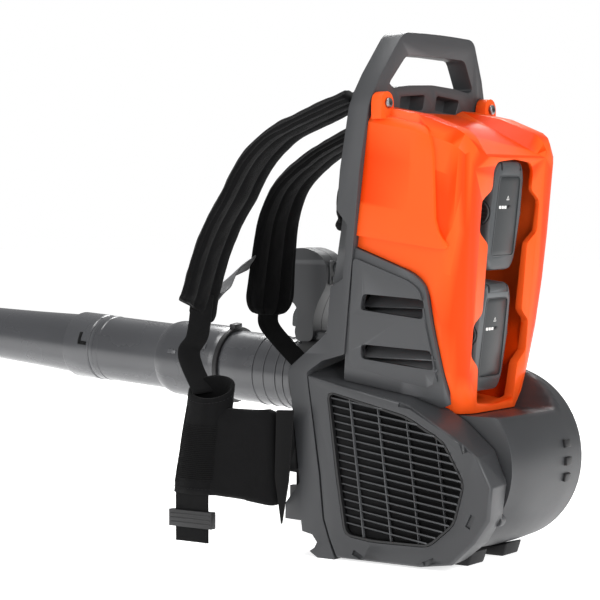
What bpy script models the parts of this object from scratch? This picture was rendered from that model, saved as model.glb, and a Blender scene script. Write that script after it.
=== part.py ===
"""Battery backpack leaf blower, modelled as separate pieces.

Frame of reference: metres, +Z up, +Y the way the wearer faces, +X the wearer's right, where the blower
tube runs. X = 0 is the middle of the machine, and the feet stand on Z = 0.
"""

import math

import bmesh
import bpy
from mathutils import Matrix, Vector

OBJECT_NAME = "backpack_leaf_blower"

GAP = 0.0003                 # between pieces that touch
WALL = 0.003                 # moulded shells

# Back frame: a leaning slab that carries the handle loop on top and the lower cheeks
FRAME_TOP_HALF = 0.1165
FRAME_LOW_HALF = 0.0955      # rails, where they meet the shoulders
CHEEK_HALF = 0.1000          # lower cheeks, flush with the intake cover
FRAME_DEPTH = 0.0235
FRAME_LEAN = 0.170           # rearward shift of the slab per metre of height
FRAME_REF_Z = 0.473
FRAME_REF_Y = -0.0144        # rear plane of the slab at FRAME_REF_Z
FRAME_RAIL = 0.013           # width of the side rails beside the rear pocket
FRAME_PLATE = 0.005          # thickness of the plate between the rails
HANDLE_TOP_Z = 0.5395
ABOVE_HANDLE_Z = HANDLE_TOP_Z + 0.0205
HANDLE_BAR = 0.0225          # height of the carry bar
CROSSBAR_TOP_Z = 0.4860
SHOULDER_Z = 0.2115          # where the rails turn forward into the cheeks
CHEEK_TOP_Z = 0.1912

# Rear cover and side panels share one tapering body surface
BODY_BOTTOM_Z = 0.1535
BODY_REAR_Y = -0.0920        # rear face at BODY_BOTTOM_Z
BODY_REAR_LEAN = 0.0878
BODY_CORNER = 0.0180         # plan radius of the rear corners
BODY_LEVELS = (              # height, half width at the rear face, half width at the frame
    (0.1535, 0.0665, 0.0900),
    (0.2000, 0.0830, 0.0945),
    (0.2500, 0.0940, 0.0987),
    (0.3100, 0.1005, 0.1038),
    (0.4000, 0.1015, 0.1110),
    (0.4620, 0.1015, 0.1165),
)
RIDGE_FRONT_Z = 0.4640       # roof ridges beside the valley
RIDGE_FRONT_Y = -0.0300
RIDGE_SLOPE = 0.3600
ROOF_CORNER = 0.0200
VALLEY_REAR_Y = -0.1080
VALLEY_REAR_Z = 0.4185
VALLEY_SLOPE = 0.4870
VALLEY_HALF = 0.0560
COVER_WALL = 0.0032
PANEL_RAISE = 0.0045         # step of the raised front field on each side
EAR_X = 0.1040
EAR_Z = 0.4657
EAR_RADIUS = 0.0115
EAR_DEPTH = 0.0120
SCREW_RADIUS = 0.0030

# Battery bay and packs, in a frame that leans with the packs
BAY_LEAN = math.radians(6.7)
BAY_Y = -0.0977
BAY_Z = 0.2909
WELL_TOP = 0.1215
WELL_BOTTOM = -0.1315
WELL_DEPTH = 0.0850
WELL_HALF_HIGH = 0.0660
WELL_HALF_LOW = 0.0470
WELL_WALL = 0.0025
WINDOW_HALF = 0.0410
WINDOW_NOTCH_HALF = 0.0600
PACK_WIDTH = 0.0650
PACK_HEIGHT = 0.1130
PACK_DEPTH = 0.0760
PACK_PITCH = 0.1250
PACK_INSET = 0.0000
PACK_BUTTON_TRAVEL = 0.0025
PACK_BUTTON_RADIUS = 0.0130

# Fan housing, intake and fan
SCROLL_Y = -0.0610
SCROLL_Z = 0.1010
SCROLL_LEFT_X = -0.0580
SCROLL_SPLIT_X = 0.0760
SCROLL_FRONT_Y = 0.0330
SCROLL_SADDLE_Z = 0.1525     # flat top under the battery bay
SCROLL_BOTTOM_Z = 0.0100
INTAKE_FACE_X = -0.1000
INTAKE_BACK_X = -0.0610
INTAKE_TILT = math.radians(7.5)
SLAT_COUNT = 20
SLAT_PITCH = 0.0078
SLAT_THICK = 0.0016
RIB_COUNT = 4
RIB_PITCH = 0.0330
RIB_THICK = 0.0020
FAN_Y = -0.0450
FAN_Z = 0.0820
IMPELLER_RADIUS = 0.0600
IMPELLER_BLADES = 9
MOTOR_X_LOW = -0.0080
MOTOR_X_HIGH = 0.0500
IMPELLER_X_LOW = -0.0500
IMPELLER_X_HIGH = -0.0200
MOTOR_RADIUS = 0.0300
SHAFT_RADIUS = 0.0050
BEARING_RADIUS = 0.0110
RUNNING_CLEARANCE = 0.00005

# Blower tube: stations along its own axis, counted from the elbow's swivel axis
TUBE_X = 0.1700
ELBOW_Y = -0.0200
ELBOW_Z = 0.1440
TUBE_RISE = math.radians(3.66)
OUTLET_X = 0.1177
OUTLET_RADIUS = 0.0420
ELBOW_X = 0.1180
ELBOW_BEND = 0.0510
ELBOW_RADIUS = 0.0420
BELLOWS_START = 0.0600
BELLOWS_END = 0.2350
BELLOWS_RIBS = 11
BELLOWS_CREST = 0.0460
BELLOWS_ROOT = 0.0412
BELLOWS_BORE = 0.0385
PIPE_RADIUS = 0.0420
PIPE_WALL = 0.0022
REAR_PIPE_END = 0.3920
SLEEVE_START = 0.3860
SLEEVE_END = 0.4760
SLEEVE_RADIUS = 0.0458
MID_PIPE_RADIUS = 0.0402
COLLAR_START = 0.5840
COLLAR_END = 0.6260
COLLAR_RADIUS = 0.0412
FRONT_PIPE_END = 0.8800
FRONT_PIPE_TIP = 0.0300
NOZZLE_END = 1.0600
NOZZLE_TIP = 0.0270

# Control handle, in the same frame
BRACKET_START = 0.2440
BRACKET_LENGTH = 0.0300
BRACKET_THICK = 0.0030
GRIP_HALF_WIDTH = 0.0185
BUTTON_TRAVEL = 0.0020

# Harness
STRAP_WIDTH = 0.0660
STRAP_THICK = 0.0145
STRAP_X = 0.0900
WEBBING_WIDTH = 0.0270
WEBBING_THICK = 0.0024
BELT_WIDTH = 0.0450
PAD_THICK = 0.0150
HIP_X = 0.1060
HIP_THICK = 0.0120
HIP_FRONT_Y = 0.2480
HIP_TOP_Z = 0.1700
HIP_BOTTOM_Z = 0.0480

COLOURS = {                  # linear red, green, blue and roughness
    "orange_shell": ((0.90, 0.115, 0.012), 0.30),
    "grey_frame": ((0.085, 0.085, 0.088), 0.55),
    "grey_housing": ((0.075, 0.075, 0.078), 0.50),
    "grey_pipe": ((0.130, 0.130, 0.132), 0.48),
    "pack_grey": ((0.140, 0.145, 0.148), 0.50),
    "pack_dark": ((0.050, 0.052, 0.054), 0.45),
    "black_plastic": ((0.018, 0.018, 0.019), 0.45),
    "black_rubber": ((0.015, 0.015, 0.015), 0.35),
    "black_fabric": ((0.014, 0.014, 0.015), 0.90),
    "steel": ((0.55, 0.55, 0.57), 0.30),
    "copper": ((0.55, 0.25, 0.12), 0.40),
}


# ---------------------------------------------------------------- helpers

def clear_scene():
    """Remove every object of the startup scene."""
    for obj in list(bpy.data.objects):
        bpy.data.objects.remove(obj, do_unlink=True)


def make_collection(name):
    """A new collection under the scene."""
    collection = bpy.data.collections.new(name)
    bpy.context.scene.collection.children.link(collection)
    return collection


def finish(name):
    """The Principled material of that name, made on first use."""
    if name in bpy.data.materials:
        return bpy.data.materials[name]
    colour, roughness = COLOURS[name]
    material = bpy.data.materials.new(name)
    material.use_nodes = True
    shader = material.node_tree.nodes["Principled BSDF"]
    shader.inputs["Base Color"].default_value = (*colour, 1.0)
    shader.inputs["Roughness"].default_value = roughness
    shader.inputs["Metallic"].default_value = 1.0 if name in ("steel", "copper") else 0.0
    return material


def add_part(name, mesh, material, matrix=None):
    """A visible piece from a mesh, in its own material."""
    obj = bpy.data.objects.new(name, mesh)
    bpy.data.collections[OBJECT_NAME].objects.link(obj)
    mesh.name = name
    mesh.materials.clear()
    mesh.materials.append(finish(material))
    if matrix is not None:
        obj.matrix_world = matrix
    return obj


def add_cutter(name, mesh, matrix=None):
    """A helper solid for a Boolean, left out of the render."""
    obj = bpy.data.objects.new(name, mesh)
    bpy.data.collections["cutters"].objects.link(obj)
    obj.hide_render = True
    obj.display_type = "WIRE"
    if matrix is not None:
        obj.matrix_world = matrix
    return obj


def combine(obj, other, operation):
    """Add a Boolean of obj with a helper solid."""
    modifier = obj.modifiers.new(other.name, "BOOLEAN")
    modifier.operation = operation
    modifier.object = other
    modifier.solver = "EXACT"


def cut(obj, name, mesh, matrix=None):
    """Take a helper solid away from obj."""
    combine(obj, add_cutter(name, mesh, matrix), "DIFFERENCE")


def join(obj, name, mesh, matrix=None):
    """Melt a helper solid into obj."""
    combine(obj, add_cutter(name, mesh, matrix), "UNION")


def round_edges(obj, width, segments=2, angle=35.0):
    """Round the edges that are sharper than the angle."""
    modifier = obj.modifiers.new("round_edges", "BEVEL")
    modifier.width = width
    modifier.segments = segments
    modifier.limit_method = "ANGLE"
    modifier.angle_limit = math.radians(angle)
    modifier.use_clamp_overlap = True


def shade(mesh, angle=40.0):
    """Shade round faces smooth and keep corners sharp."""
    mesh.shade_smooth()
    mesh.set_sharp_from_angle(angle=math.radians(angle))
    return mesh


def mesh_from(bm, name="solid"):
    """Close a bmesh into a mesh whose faces point out."""
    bmesh.ops.recalc_face_normals(bm, faces=bm.faces)
    mesh = bpy.data.meshes.new(name)
    bm.to_mesh(mesh)
    bm.free()
    return shade(mesh)


def box(size, centre=(0.0, 0.0, 0.0), radius=0.0, segments=2):
    """A box of the given size, with rounded edges where a radius is given."""
    bm = bmesh.new()
    bmesh.ops.create_cube(bm, size=1.0)
    bmesh.ops.scale(bm, vec=size, verts=bm.verts)
    if radius > 0.0:
        bmesh.ops.bevel(bm, geom=bm.edges[:], offset=radius, segments=segments, profile=0.5, affect="EDGES")
    bmesh.ops.translate(bm, vec=centre, verts=bm.verts)
    return mesh_from(bm)


def rod(radius, low, high, axis="Z", centre=(0.0, 0.0), sides=24, tip=None):
    """A cylinder or cone from low to high along an axis; centre holds the other two coordinates in order."""
    bm = bmesh.new()
    bmesh.ops.create_cone(
        bm, cap_ends=True, segments=sides, radius1=radius,
        radius2=radius if tip is None else tip, depth=high - low,
    )
    middle = 0.5 * (low + high)
    if axis == "X":
        turn = Matrix.Translation((middle, centre[0], centre[1])) @ Matrix.Rotation(math.pi / 2, 4, "Y")
    elif axis == "Y":
        turn = Matrix.Translation((centre[0], middle, centre[1])) @ Matrix.Rotation(-math.pi / 2, 4, "X")
    else:
        turn = Matrix.Translation((centre[0], centre[1], middle))
    bmesh.ops.transform(bm, matrix=turn, verts=bm.verts)
    return mesh_from(bm)


def arc(centre, radius, start, end, steps):
    """Points of an arc, angles in degrees."""
    points = []
    for index in range(steps + 1):
        angle = math.radians(start + (end - start) * index / steps)
        points.append((centre[0] + radius * math.cos(angle), centre[1] + radius * math.sin(angle)))
    return points


def rounded(corners, radius, steps=3):
    """An outline with each of its corners rounded as far as its sides allow."""
    points = []
    count = len(corners)
    for index in range(count):
        corner = Vector(corners[index])
        before = Vector(corners[index - 1]) - corner
        after = Vector(corners[(index + 1) % count]) - corner
        reach = min(radius, 0.45 * before.length, 0.45 * after.length)
        start = corner + before.normalized() * reach
        end = corner + after.normalized() * reach
        for step in range(steps + 1):
            t = step / steps
            points.append(tuple(start * (1 - t) ** 2 + corner * (2 * t * (1 - t)) + end * t ** 2))
    return points


def mirrored(half):
    """A closed outline from its half at positive X, listed from the top middle to the bottom middle."""
    inner = [point for point in reversed(half) if point[0] > 1e-9]
    return half + [(-x, z) for x, z in inner]


def plate(outline, low, high, axis="Z", holes=()):
    """A flat outline, with holes, extruded from low to high along an axis.

    The outline is in (X, Y) for axis Z, in (X, Z) for axis Y and in (Y, Z) for axis X.
    """
    curve = bpy.data.curves.new("outline", "CURVE")
    curve.dimensions = "2D"
    curve.fill_mode = "BOTH"
    curve.extrude = 0.5 * (high - low)
    for points in (outline, *holes):
        spline = curve.splines.new("POLY")
        spline.points.add(len(points) - 1)
        for item, point in zip(spline.points, points):
            item.co = (point[0], point[1], 0.0, 1.0)
        spline.use_cyclic_u = True
    holder = bpy.data.objects.new("outline", curve)
    bpy.context.scene.collection.objects.link(holder)
    bpy.context.view_layer.update()
    mesh = bpy.data.meshes.new_from_object(holder.evaluated_get(bpy.context.evaluated_depsgraph_get()))
    bpy.data.objects.remove(holder, do_unlink=True)
    bm = bmesh.new()
    bm.from_mesh(mesh)
    bmesh.ops.remove_doubles(bm, verts=bm.verts, dist=1e-6)
    middle = 0.5 * (low + high)
    if axis == "X":
        turn = Matrix(((0, 0, 1, middle), (1, 0, 0, 0), (0, 1, 0, 0), (0, 0, 0, 1)))
    elif axis == "Y":
        turn = Matrix(((1, 0, 0, 0), (0, 0, -1, middle), (0, 1, 0, 0), (0, 0, 0, 1)))
    else:
        turn = Matrix.Translation((0, 0, middle))
    bmesh.ops.transform(bm, matrix=turn, verts=bm.verts)
    return mesh_from(bm)


def loft(rings):
    """A closed solid through rings that all hold the same number of points."""
    bm = bmesh.new()
    rows = [[bm.verts.new(point) for point in ring] for ring in rings]
    count = len(rows[0])
    for first, second in zip(rows, rows[1:]):
        for index in range(count):
            after = (index + 1) % count
            bm.faces.new((first[index], first[after], second[after], second[index]))
    bm.faces.new(rows[0])
    bm.faces.new(rows[-1])
    return mesh_from(bm)


def turned(name, outer, inner, material, matrix, steps=32):
    """A ring-shaped piece turned about local Z: outer and inner walls as (radius, height), upward."""
    profile = list(reversed(outer)) + list(inner)
    bm = bmesh.new()
    verts = [bm.verts.new((radius, 0.0, height)) for radius, height in profile]
    for first, second in zip(verts, verts[1:] + verts[:1]):
        bm.edges.new((first, second))
    mesh = bpy.data.meshes.new(name)
    bm.to_mesh(mesh)
    bm.free()
    obj = add_part(name, mesh, material, matrix)
    screw = obj.modifiers.new("turn", "SCREW")
    screw.axis = "Z"
    screw.angle = 2 * math.pi
    screw.steps = steps
    screw.render_steps = steps
    screw.use_merge_vertices = True
    screw.merge_threshold = 0.00001
    screw.use_smooth_shade = True
    return obj


def sweep(route, width, thick, face, exponent_steps=2, taper=None):
    """A flat band along a route; face gives the direction of its thin side at each point."""
    rings = []
    for index, point in enumerate(route):
        before = Vector(route[max(index - 1, 0)])
        after = Vector(route[min(index + 1, len(route) - 1)])
        along = (after - before).normalized()
        thin = Vector(face[index] if isinstance(face, list) else face)
        thin = (thin - along * thin.dot(along)).normalized()
        wide = along.cross(thin)
        scale = 1.0 if taper is None else taper[index]
        half_w = 0.5 * width * scale
        half_t = 0.5 * thick
        edge = min(half_t, half_w) * 0.8
        ring = []
        for sign_w, sign_t, turn in ((1, 1, 0), (-1, 1, 90), (-1, -1, 180), (1, -1, 270)):
            for step in range(exponent_steps + 1):
                angle = math.radians(turn + 90.0 * step / exponent_steps)
                across = sign_w * (half_w - edge) + edge * math.cos(angle)
                upward = sign_t * (half_t - edge) + edge * math.sin(angle)
                ring.append(Vector(point) + wide * across + thin * upward)
        rings.append(ring)
    return loft(rings)


def smooth_route(points, steps=3):
    """Catmull-Rom points through a list of points."""
    vectors = [Vector(point) for point in points]
    padded = [2 * vectors[0] - vectors[1]] + vectors + [2 * vectors[-1] - vectors[-2]]
    route = []
    for p0, p1, p2, p3 in zip(padded, padded[1:], padded[2:], padded[3:]):
        for step in range(steps):
            t = step / steps
            route.append(0.5 * (
                2 * p1 + (p2 - p0) * t + (2 * p0 - 5 * p1 + 4 * p2 - p3) * t ** 2
                + (3 * p1 - p0 - 3 * p2 + p3) * t ** 3
            ))
    route.append(vectors[-1])
    return route


def between(table, at, column):
    """Linear interpolation in a table sorted by its first column."""
    if at <= table[0][0]:
        return table[0][column]
    for low, high in zip(table, table[1:]):
        if at <= high[0]:
            share = (at - low[0]) / (high[0] - low[0])
            return low[column] + share * (high[column] - low[column])
    return table[-1][column]


# ---------------------------------------------------------------- shared surfaces

def frame_rear_y(z):
    """Rear plane of the leaning frame slab."""
    return FRAME_REF_Y + FRAME_LEAN * (FRAME_REF_Z - z)


def frame_front_y(z):
    """Front plane of the leaning frame slab, against the wearer's pad."""
    return frame_rear_y(z) + FRAME_DEPTH


def lean_matrix():
    """Shear that carries an upright slab at Y = 0 onto the frame's rear plane."""
    matrix = Matrix.Identity(4)
    matrix[1][2] = -FRAME_LEAN
    matrix[1][3] = FRAME_REF_Y + FRAME_LEAN * FRAME_REF_Z
    return matrix


def body_rear_y(z):
    """Rear face of the tapering body."""
    return BODY_REAR_Y - BODY_REAR_LEAN * (z - BODY_BOTTOM_Z)


def corner_inset(reach, radius):
    """How far a rounded corner stands back at a distance from the face it runs into."""
    if reach >= radius:
        return 0.0
    return radius - math.sqrt(radius ** 2 - (radius - reach) ** 2)


def body_half_width(z, reach):
    """Half width of the body at a height and at a distance in front of the rear face."""
    rear = between(BODY_LEVELS, z, 1)
    front = between(BODY_LEVELS, z, 2)
    depth = frame_rear_y(z) - body_rear_y(z)
    share = min(1.0, max(0.0, reach / depth))
    return rear + (front - rear) * share - corner_inset(reach, BODY_CORNER)


def body_ring(reach, side, back, base, front=False):
    """One cross-section of the body, at a distance in front of its rear face."""
    side_levels = (0.0, 0.06, 0.15, 0.32, 0.5, 0.68, 0.84, 0.95, 1.0)
    middle_y = body_rear_y(0.44) + reach
    roof = RIDGE_FRONT_Z + RIDGE_SLOPE * min(0.0, middle_y - RIDGE_FRONT_Y)
    roof -= corner_inset(reach, ROOF_CORNER) + back
    valley = min(roof, VALLEY_REAR_Z + VALLEY_SLOPE * (middle_y - VALLEY_REAR_Y) - back)
    bottom = BODY_BOTTOM_Z + base
    half = [(0.0, bottom)]
    for level in side_levels:
        z = bottom + level * (roof - bottom)
        width = body_half_width(z, reach) - side
        if level in (0.0, 1.0):
            width -= 0.006 if level == 0.0 else 0.010
        half.append((width, z))
    half.append((min(VALLEY_HALF + 0.012, half[-1][0] - 0.003), roof))
    half.append((VALLEY_HALF, valley))
    half.append((0.0, valley))
    outline = half + [(-x, z) for x, z in reversed(half[1:-1])]
    ring = []
    for x, z in outline:
        y = frame_rear_y(z) - GAP if front else body_rear_y(z) + reach + back
        ring.append((x, y, z))
    return ring


def body_solid(side, back=0.0, base=0.0, front_extra=0.0):
    """The tapering body as a closed solid, inset at its sides, its back and roof, and its bottom."""
    reaches = [0.0, 0.0014, 0.0050, 0.0105, BODY_CORNER, 0.0350, 0.0600]
    rings = [body_ring(reach, side, back, base) for reach in reaches]
    last = body_ring(0.095, side, back, base, front=True)
    rings.append([(x, y + front_extra, z) for x, y, z in last])
    return loft(rings)


def panel_outline(margin=0.0):
    """Side view of the vent panel field, as (Y, Z): slanted top, rear edge, bottom."""
    corners = [
        (0.0900, 0.1300), (0.0900, 0.3500 + margin), (-0.0560, 0.2960 + margin),
        (-0.0690 - margin, 0.2840), (-0.0810 - margin, 0.1720), (-0.0850 - margin, 0.1300),
    ]
    return rounded(corners, 0.010, 2)


def ahead_of_frame():
    """Everything in front of the frame's rear plane, for trimming what meets it."""
    corners = [(frame_rear_y(0.10) - GAP, 0.10), (0.2, 0.10), (0.2, 0.52), (frame_rear_y(0.52) - GAP, 0.52)]
    return plate(corners, -0.13, 0.13, "X")


# ---------------------------------------------------------------- frame

def frame_front_outline():
    """The frame seen from behind, as (X, Z)."""
    half = [(0.0, HANDLE_TOP_Z), (0.0300, HANDLE_TOP_Z - 0.0003)]
    half += arc((0.0600, HANDLE_TOP_Z - 0.0220), 0.0210, 85.0, 28.0, 4)
    half += [(0.1010, 0.4960), (0.1120, 0.4760), (FRAME_TOP_HALF, 0.4620)]
    half += [(FRAME_TOP_HALF, 0.4000), (FRAME_LOW_HALF, SHOULDER_Z)]
    half += [(CHEEK_HALF, CHEEK_TOP_Z), (CHEEK_HALF, -0.0100), (0.0, -0.0100)]
    return mirrored(half)


def frame_side_outline():
    """The frame seen from the side, as (Y, Z), from the top rear edge downwards."""
    return [
        (frame_rear_y(ABOVE_HANDLE_Z), ABOVE_HANDLE_Z),
        (frame_rear_y(SHOULDER_Z), SHOULDER_Z),
        (0.0560, 0.2040),
        (0.0735, CHEEK_TOP_Z),
        (0.0582, 0.0868),
        (0.0535, 0.0410),
        (0.0470, 0.0220),
        (0.0385, 0.0000),
        (0.0600, 0.0000),
        (0.0700, 0.0060),
        (0.0640, 0.0100),
        (0.0605, 0.0160),
        (0.0665, 0.0235),
        (0.0790, 0.0260),
        (0.0805, 0.0370),
        (0.1005, 0.0375),
        (0.1000, 0.0540),
        (0.0822, 0.0770),
        (0.0925, 0.1630),
        (0.0966, 0.1950),
        (0.0797, 0.2100),
        (frame_front_y(0.2325), 0.2325),
        (frame_front_y(ABOVE_HANDLE_Z), ABOVE_HANDLE_Z),
    ]


def handle_opening():
    """The carry loop's opening, as (X, Z)."""
    low = CROSSBAR_TOP_Z
    half = [(0.0, HANDLE_TOP_Z - HANDLE_BAR), (0.0580, HANDLE_TOP_Z - HANDLE_BAR - 0.0010)]
    half += [(0.0840, low), (0.0760, low - 0.0035), (0.0450, low), (0.0, low + 0.0020)]
    return rounded(mirrored(half), 0.0060, 2)


def rear_pocket():
    """The hollow behind the frame's plate, as (X, Z)."""
    top = FRAME_TOP_HALF - FRAME_RAIL
    low = FRAME_LOW_HALF - FRAME_RAIL
    corners = [(top, 0.4400), (top, 0.4000), (low, 0.2250), (-low, 0.2250), (-top, 0.4000), (-top, 0.4400)]
    return rounded(corners, 0.008, 2)


def build_frame():
    """Leaning slab with carry loop, crossbar vents, rear pocket and the lower cheeks."""
    frame = add_part("back_frame", plate(frame_front_outline(), -0.10, 0.16, "Y"), "grey_frame")
    side = plate(frame_side_outline(), -0.13, 0.13, "X")
    combine(frame, add_cutter("frame_side_view", side), "INTERSECT")
    lean = lean_matrix()
    opening = plate(handle_opening(), -0.03, 0.05, "Y")
    opening.transform(lean)
    cut(frame, "frame_handle_opening", opening)
    pocket = plate(rear_pocket(), -0.03, FRAME_DEPTH - FRAME_PLATE, "Y")
    pocket.transform(lean)
    cut(frame, "frame_rear_pocket", pocket)
    slots = []
    for side_sign in (-1, 1):
        corners = [(0.0120, 0.4775), (0.0590, 0.4740), (0.0560, 0.4590), (0.0120, 0.4620)]
        points = rounded([(side_sign * x, z) for x, z in corners], 0.002, 1)
        slot = plate(points, -0.03, FRAME_DEPTH - 0.0060, "Y")
        slot.transform(lean)
        slots.append(slot)
    for index, slot in enumerate(slots):
        cut(frame, f"frame_vent_{index}", slot)
    for side_sign, label in ((-1, "left"), (1, "right")):
        notch = plate(
            [(frame_front_y(0.2800) + 0.001, 0.2800), (frame_front_y(0.2890) - 0.0140, 0.2890),
             (frame_front_y(0.3440) - 0.0140, 0.3440), (frame_front_y(0.3600) + 0.001, 0.3600),
             (0.08, 0.32)],
            *sorted((side_sign * 0.0985, side_sign * 0.1300)), "X",
        )
        cut(frame, f"frame_notch_{label}", notch)
    lower = box((2 * CHEEK_HALF - 0.030, 0.0600, 0.1250), (0.0, 0.0420, 0.1100))
    cut(frame, "frame_lower_hollow", lower)
    for sign, label in ((-1, "left"), (1, "right")):
        rear = frame_rear_y(EAR_Z)
        hole = rod(SCREW_RADIUS + 0.0004, rear - 0.01, rear + 0.0100, "Y", (sign * EAR_X, EAR_Z), 16)
        cut(frame, f"frame_screw_hole_{label}", hole)
    round_edges(frame, 0.0022, 2, 50.0)
    return frame


# ---------------------------------------------------------------- rear cover and side panels

def bay_matrix():
    """Frame of the battery bay: its Y runs into the bay, its Z along the two packs."""
    return Matrix.Translation((0.0, BAY_Y, BAY_Z)) @ Matrix.Rotation(BAY_LEAN, 4, "X")


def well_outline(grow):
    """The battery well seen from behind, as (X, Z) in the bay's frame."""
    low = WELL_HALF_LOW + grow
    high = WELL_HALF_HIGH + grow
    return [(low, WELL_BOTTOM - grow), (high, -0.030), (high, WELL_TOP + grow)] + [
        (-high, WELL_TOP + grow), (-high, -0.030), (-low, WELL_BOTTOM - grow)]


def window_outline():
    """The rear window with the finger notches beside each pack, as (X, Z) in the bay's frame."""
    half = [(0.0, WELL_TOP - 0.001), (0.0340, WELL_TOP - 0.004), (WINDOW_HALF, WELL_TOP - 0.012)]
    for middle in (0.5 * PACK_PITCH, -0.5 * PACK_PITCH):
        out = WINDOW_NOTCH_HALF if middle > 0 else WINDOW_NOTCH_HALF - 0.0030
        half += [(WINDOW_HALF, middle + 0.0270), (out, middle + 0.0160)]
        half += [(out, middle - 0.0160), (WINDOW_HALF, middle - 0.0280)]
    half += [(WINDOW_HALF - 0.003, WELL_BOTTOM + 0.004), (0.0, WELL_BOTTOM + 0.001)]
    return rounded(mirrored(half), 0.004, 2)


def raised_field():
    """The raised front field on the cover's sides, as (Y, Z)."""
    corners = [
        (0.0600, 0.4620), (-0.0150, 0.4560), (-0.0740, 0.4420), (-0.0800, 0.4200),
        (-0.0810, 0.3420), (-0.0985, 0.3190), (0.0600, 0.3400),
    ]
    return rounded(corners, 0.016, 3)


def build_rear_cover():
    """Orange shell: tapering tower with roof valley, ears, battery well and window."""
    bay = bay_matrix()
    cover = add_part("rear_cover", body_solid(PANEL_RAISE, front_extra=0.004), "orange_shell")
    field = add_cutter("cover_raised_field", body_solid(0.0, 0.0004, 0.0004, 0.006))
    outline = add_cutter("cover_field_outline", plate(raised_field(), -0.13, 0.13, "X"))
    combine(field, outline, "INTERSECT")
    combine(cover, field, "UNION")
    inside = add_cutter("cover_inside", body_solid(PANEL_RAISE + COVER_WALL, COVER_WALL, COVER_WALL, 0.0200))
    cut(inside, "cover_well_walls", plate(well_outline(WELL_WALL), -0.0400, WELL_DEPTH, "Y"), bay)
    combine(cover, inside, "DIFFERENCE")
    cut(cover, "cover_well", plate(well_outline(0.0), 0.0006, WELL_DEPTH + 0.01, "Y"), bay)
    cut(cover, "cover_window", plate(window_outline(), -0.0300, 0.0300, "Y"), bay)
    for sign, label in ((-1, "left"), (1, "right")):
        front = frame_rear_y(EAR_Z + EAR_RADIUS) - GAP
        centre = (sign * EAR_X, EAR_Z)
        outline = arc(centre, EAR_RADIUS, 0.0, 180.0, 8)
        outline += [(centre[0] - EAR_RADIUS, EAR_Z - 0.016), (centre[0] + EAR_RADIUS, EAR_Z - 0.016)]
        join(cover, f"cover_ear_{label}", plate(outline, front - EAR_DEPTH, front, "Y"))
        hole = rod(SCREW_RADIUS + 0.0004, front - 0.03, front + 0.01, "Y", centre, 16)
        cut(cover, f"cover_ear_hole_{label}", hole)
        side = plate(panel_outline(GAP + 0.0005), *sorted((sign * 0.0695, sign * 0.13)), "X")
        cut(cover, f"cover_panel_field_{label}", side)
    cut(cover, "cover_ahead", ahead_of_frame())
    cut(cover, "cover_clear_intake", intake_solid(0.0006))
    cut(cover, "cover_clear_scroll", scroll_right(0.0006))
    return cover


def build_ear_screws():
    """The two screws through the cover's ears into the frame."""
    for sign, label in ((-1, "left"), (1, "right")):
        front = frame_rear_y(EAR_Z + EAR_RADIUS) - GAP
        rear = front - EAR_DEPTH - GAP
        screw = add_part(
            f"ear_screw_{label}",
            rod(SCREW_RADIUS, rear - 0.0005, front + 0.0060, "Y", (sign * EAR_X, EAR_Z), 16), "steel",
        )
        head = rod(0.0056, rear - 0.0032, rear, "Y", (sign * EAR_X, EAR_Z), 16)
        join(screw, f"ear_screw_head_{label}", head)


def intake_outline(margin=0.0):
    """Outer face of the intake cover, as (Y, Z)."""
    corners = [
        (0.0730, 0.1885), (-0.0465, 0.1650), (-0.0980, 0.1380), (-0.1300, 0.1170), (-0.1450, 0.0880),
        (-0.1420, 0.0550), (-0.1250, 0.0310), (-0.0990, 0.0070), (-0.0620, 0.0020), (0.0370, 0.0020),
        (0.0460, 0.0215), (0.0525, 0.0405), (0.0572, 0.0868),
    ]
    return [(y + margin * (1 if y > 0 else -1), z + margin * (1 if z > 0.1 else -1)) for y, z in corners]


def intake_back_outline(margin=0.0):
    """Back edge of the intake cover's drafted flange, as (Y, Z)."""
    corners = [
        (0.0530, 0.2040), (-0.0360, 0.1800), (-0.0960, 0.1470), (-0.1270, 0.1210), (-0.1410, 0.0880),
        (-0.1360, 0.0540), (-0.1200, 0.0280), (-0.0950, 0.0080), (-0.0600, 0.0035), (0.0350, 0.0035),
        (0.0440, 0.0225), (0.0510, 0.0410), (0.0540, 0.0868),
    ]
    return [(y + margin * (1 if y > 0 else -1), z + margin * (1 if z > 0.1 else -1)) for y, z in corners]


def intake_solid(margin=0.0):
    """The intake cover's outer shape."""
    rings = [
        [(INTAKE_FACE_X - margin, y * 0.985, 0.0018 + z * 0.985) for y, z in intake_outline(margin)],
        [(INTAKE_FACE_X + 0.0035 - margin, y, z) for y, z in intake_outline(margin)],
        [(INTAKE_BACK_X + margin, y, z) for y, z in intake_back_outline(margin)],
    ]
    return loft(rings)


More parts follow.
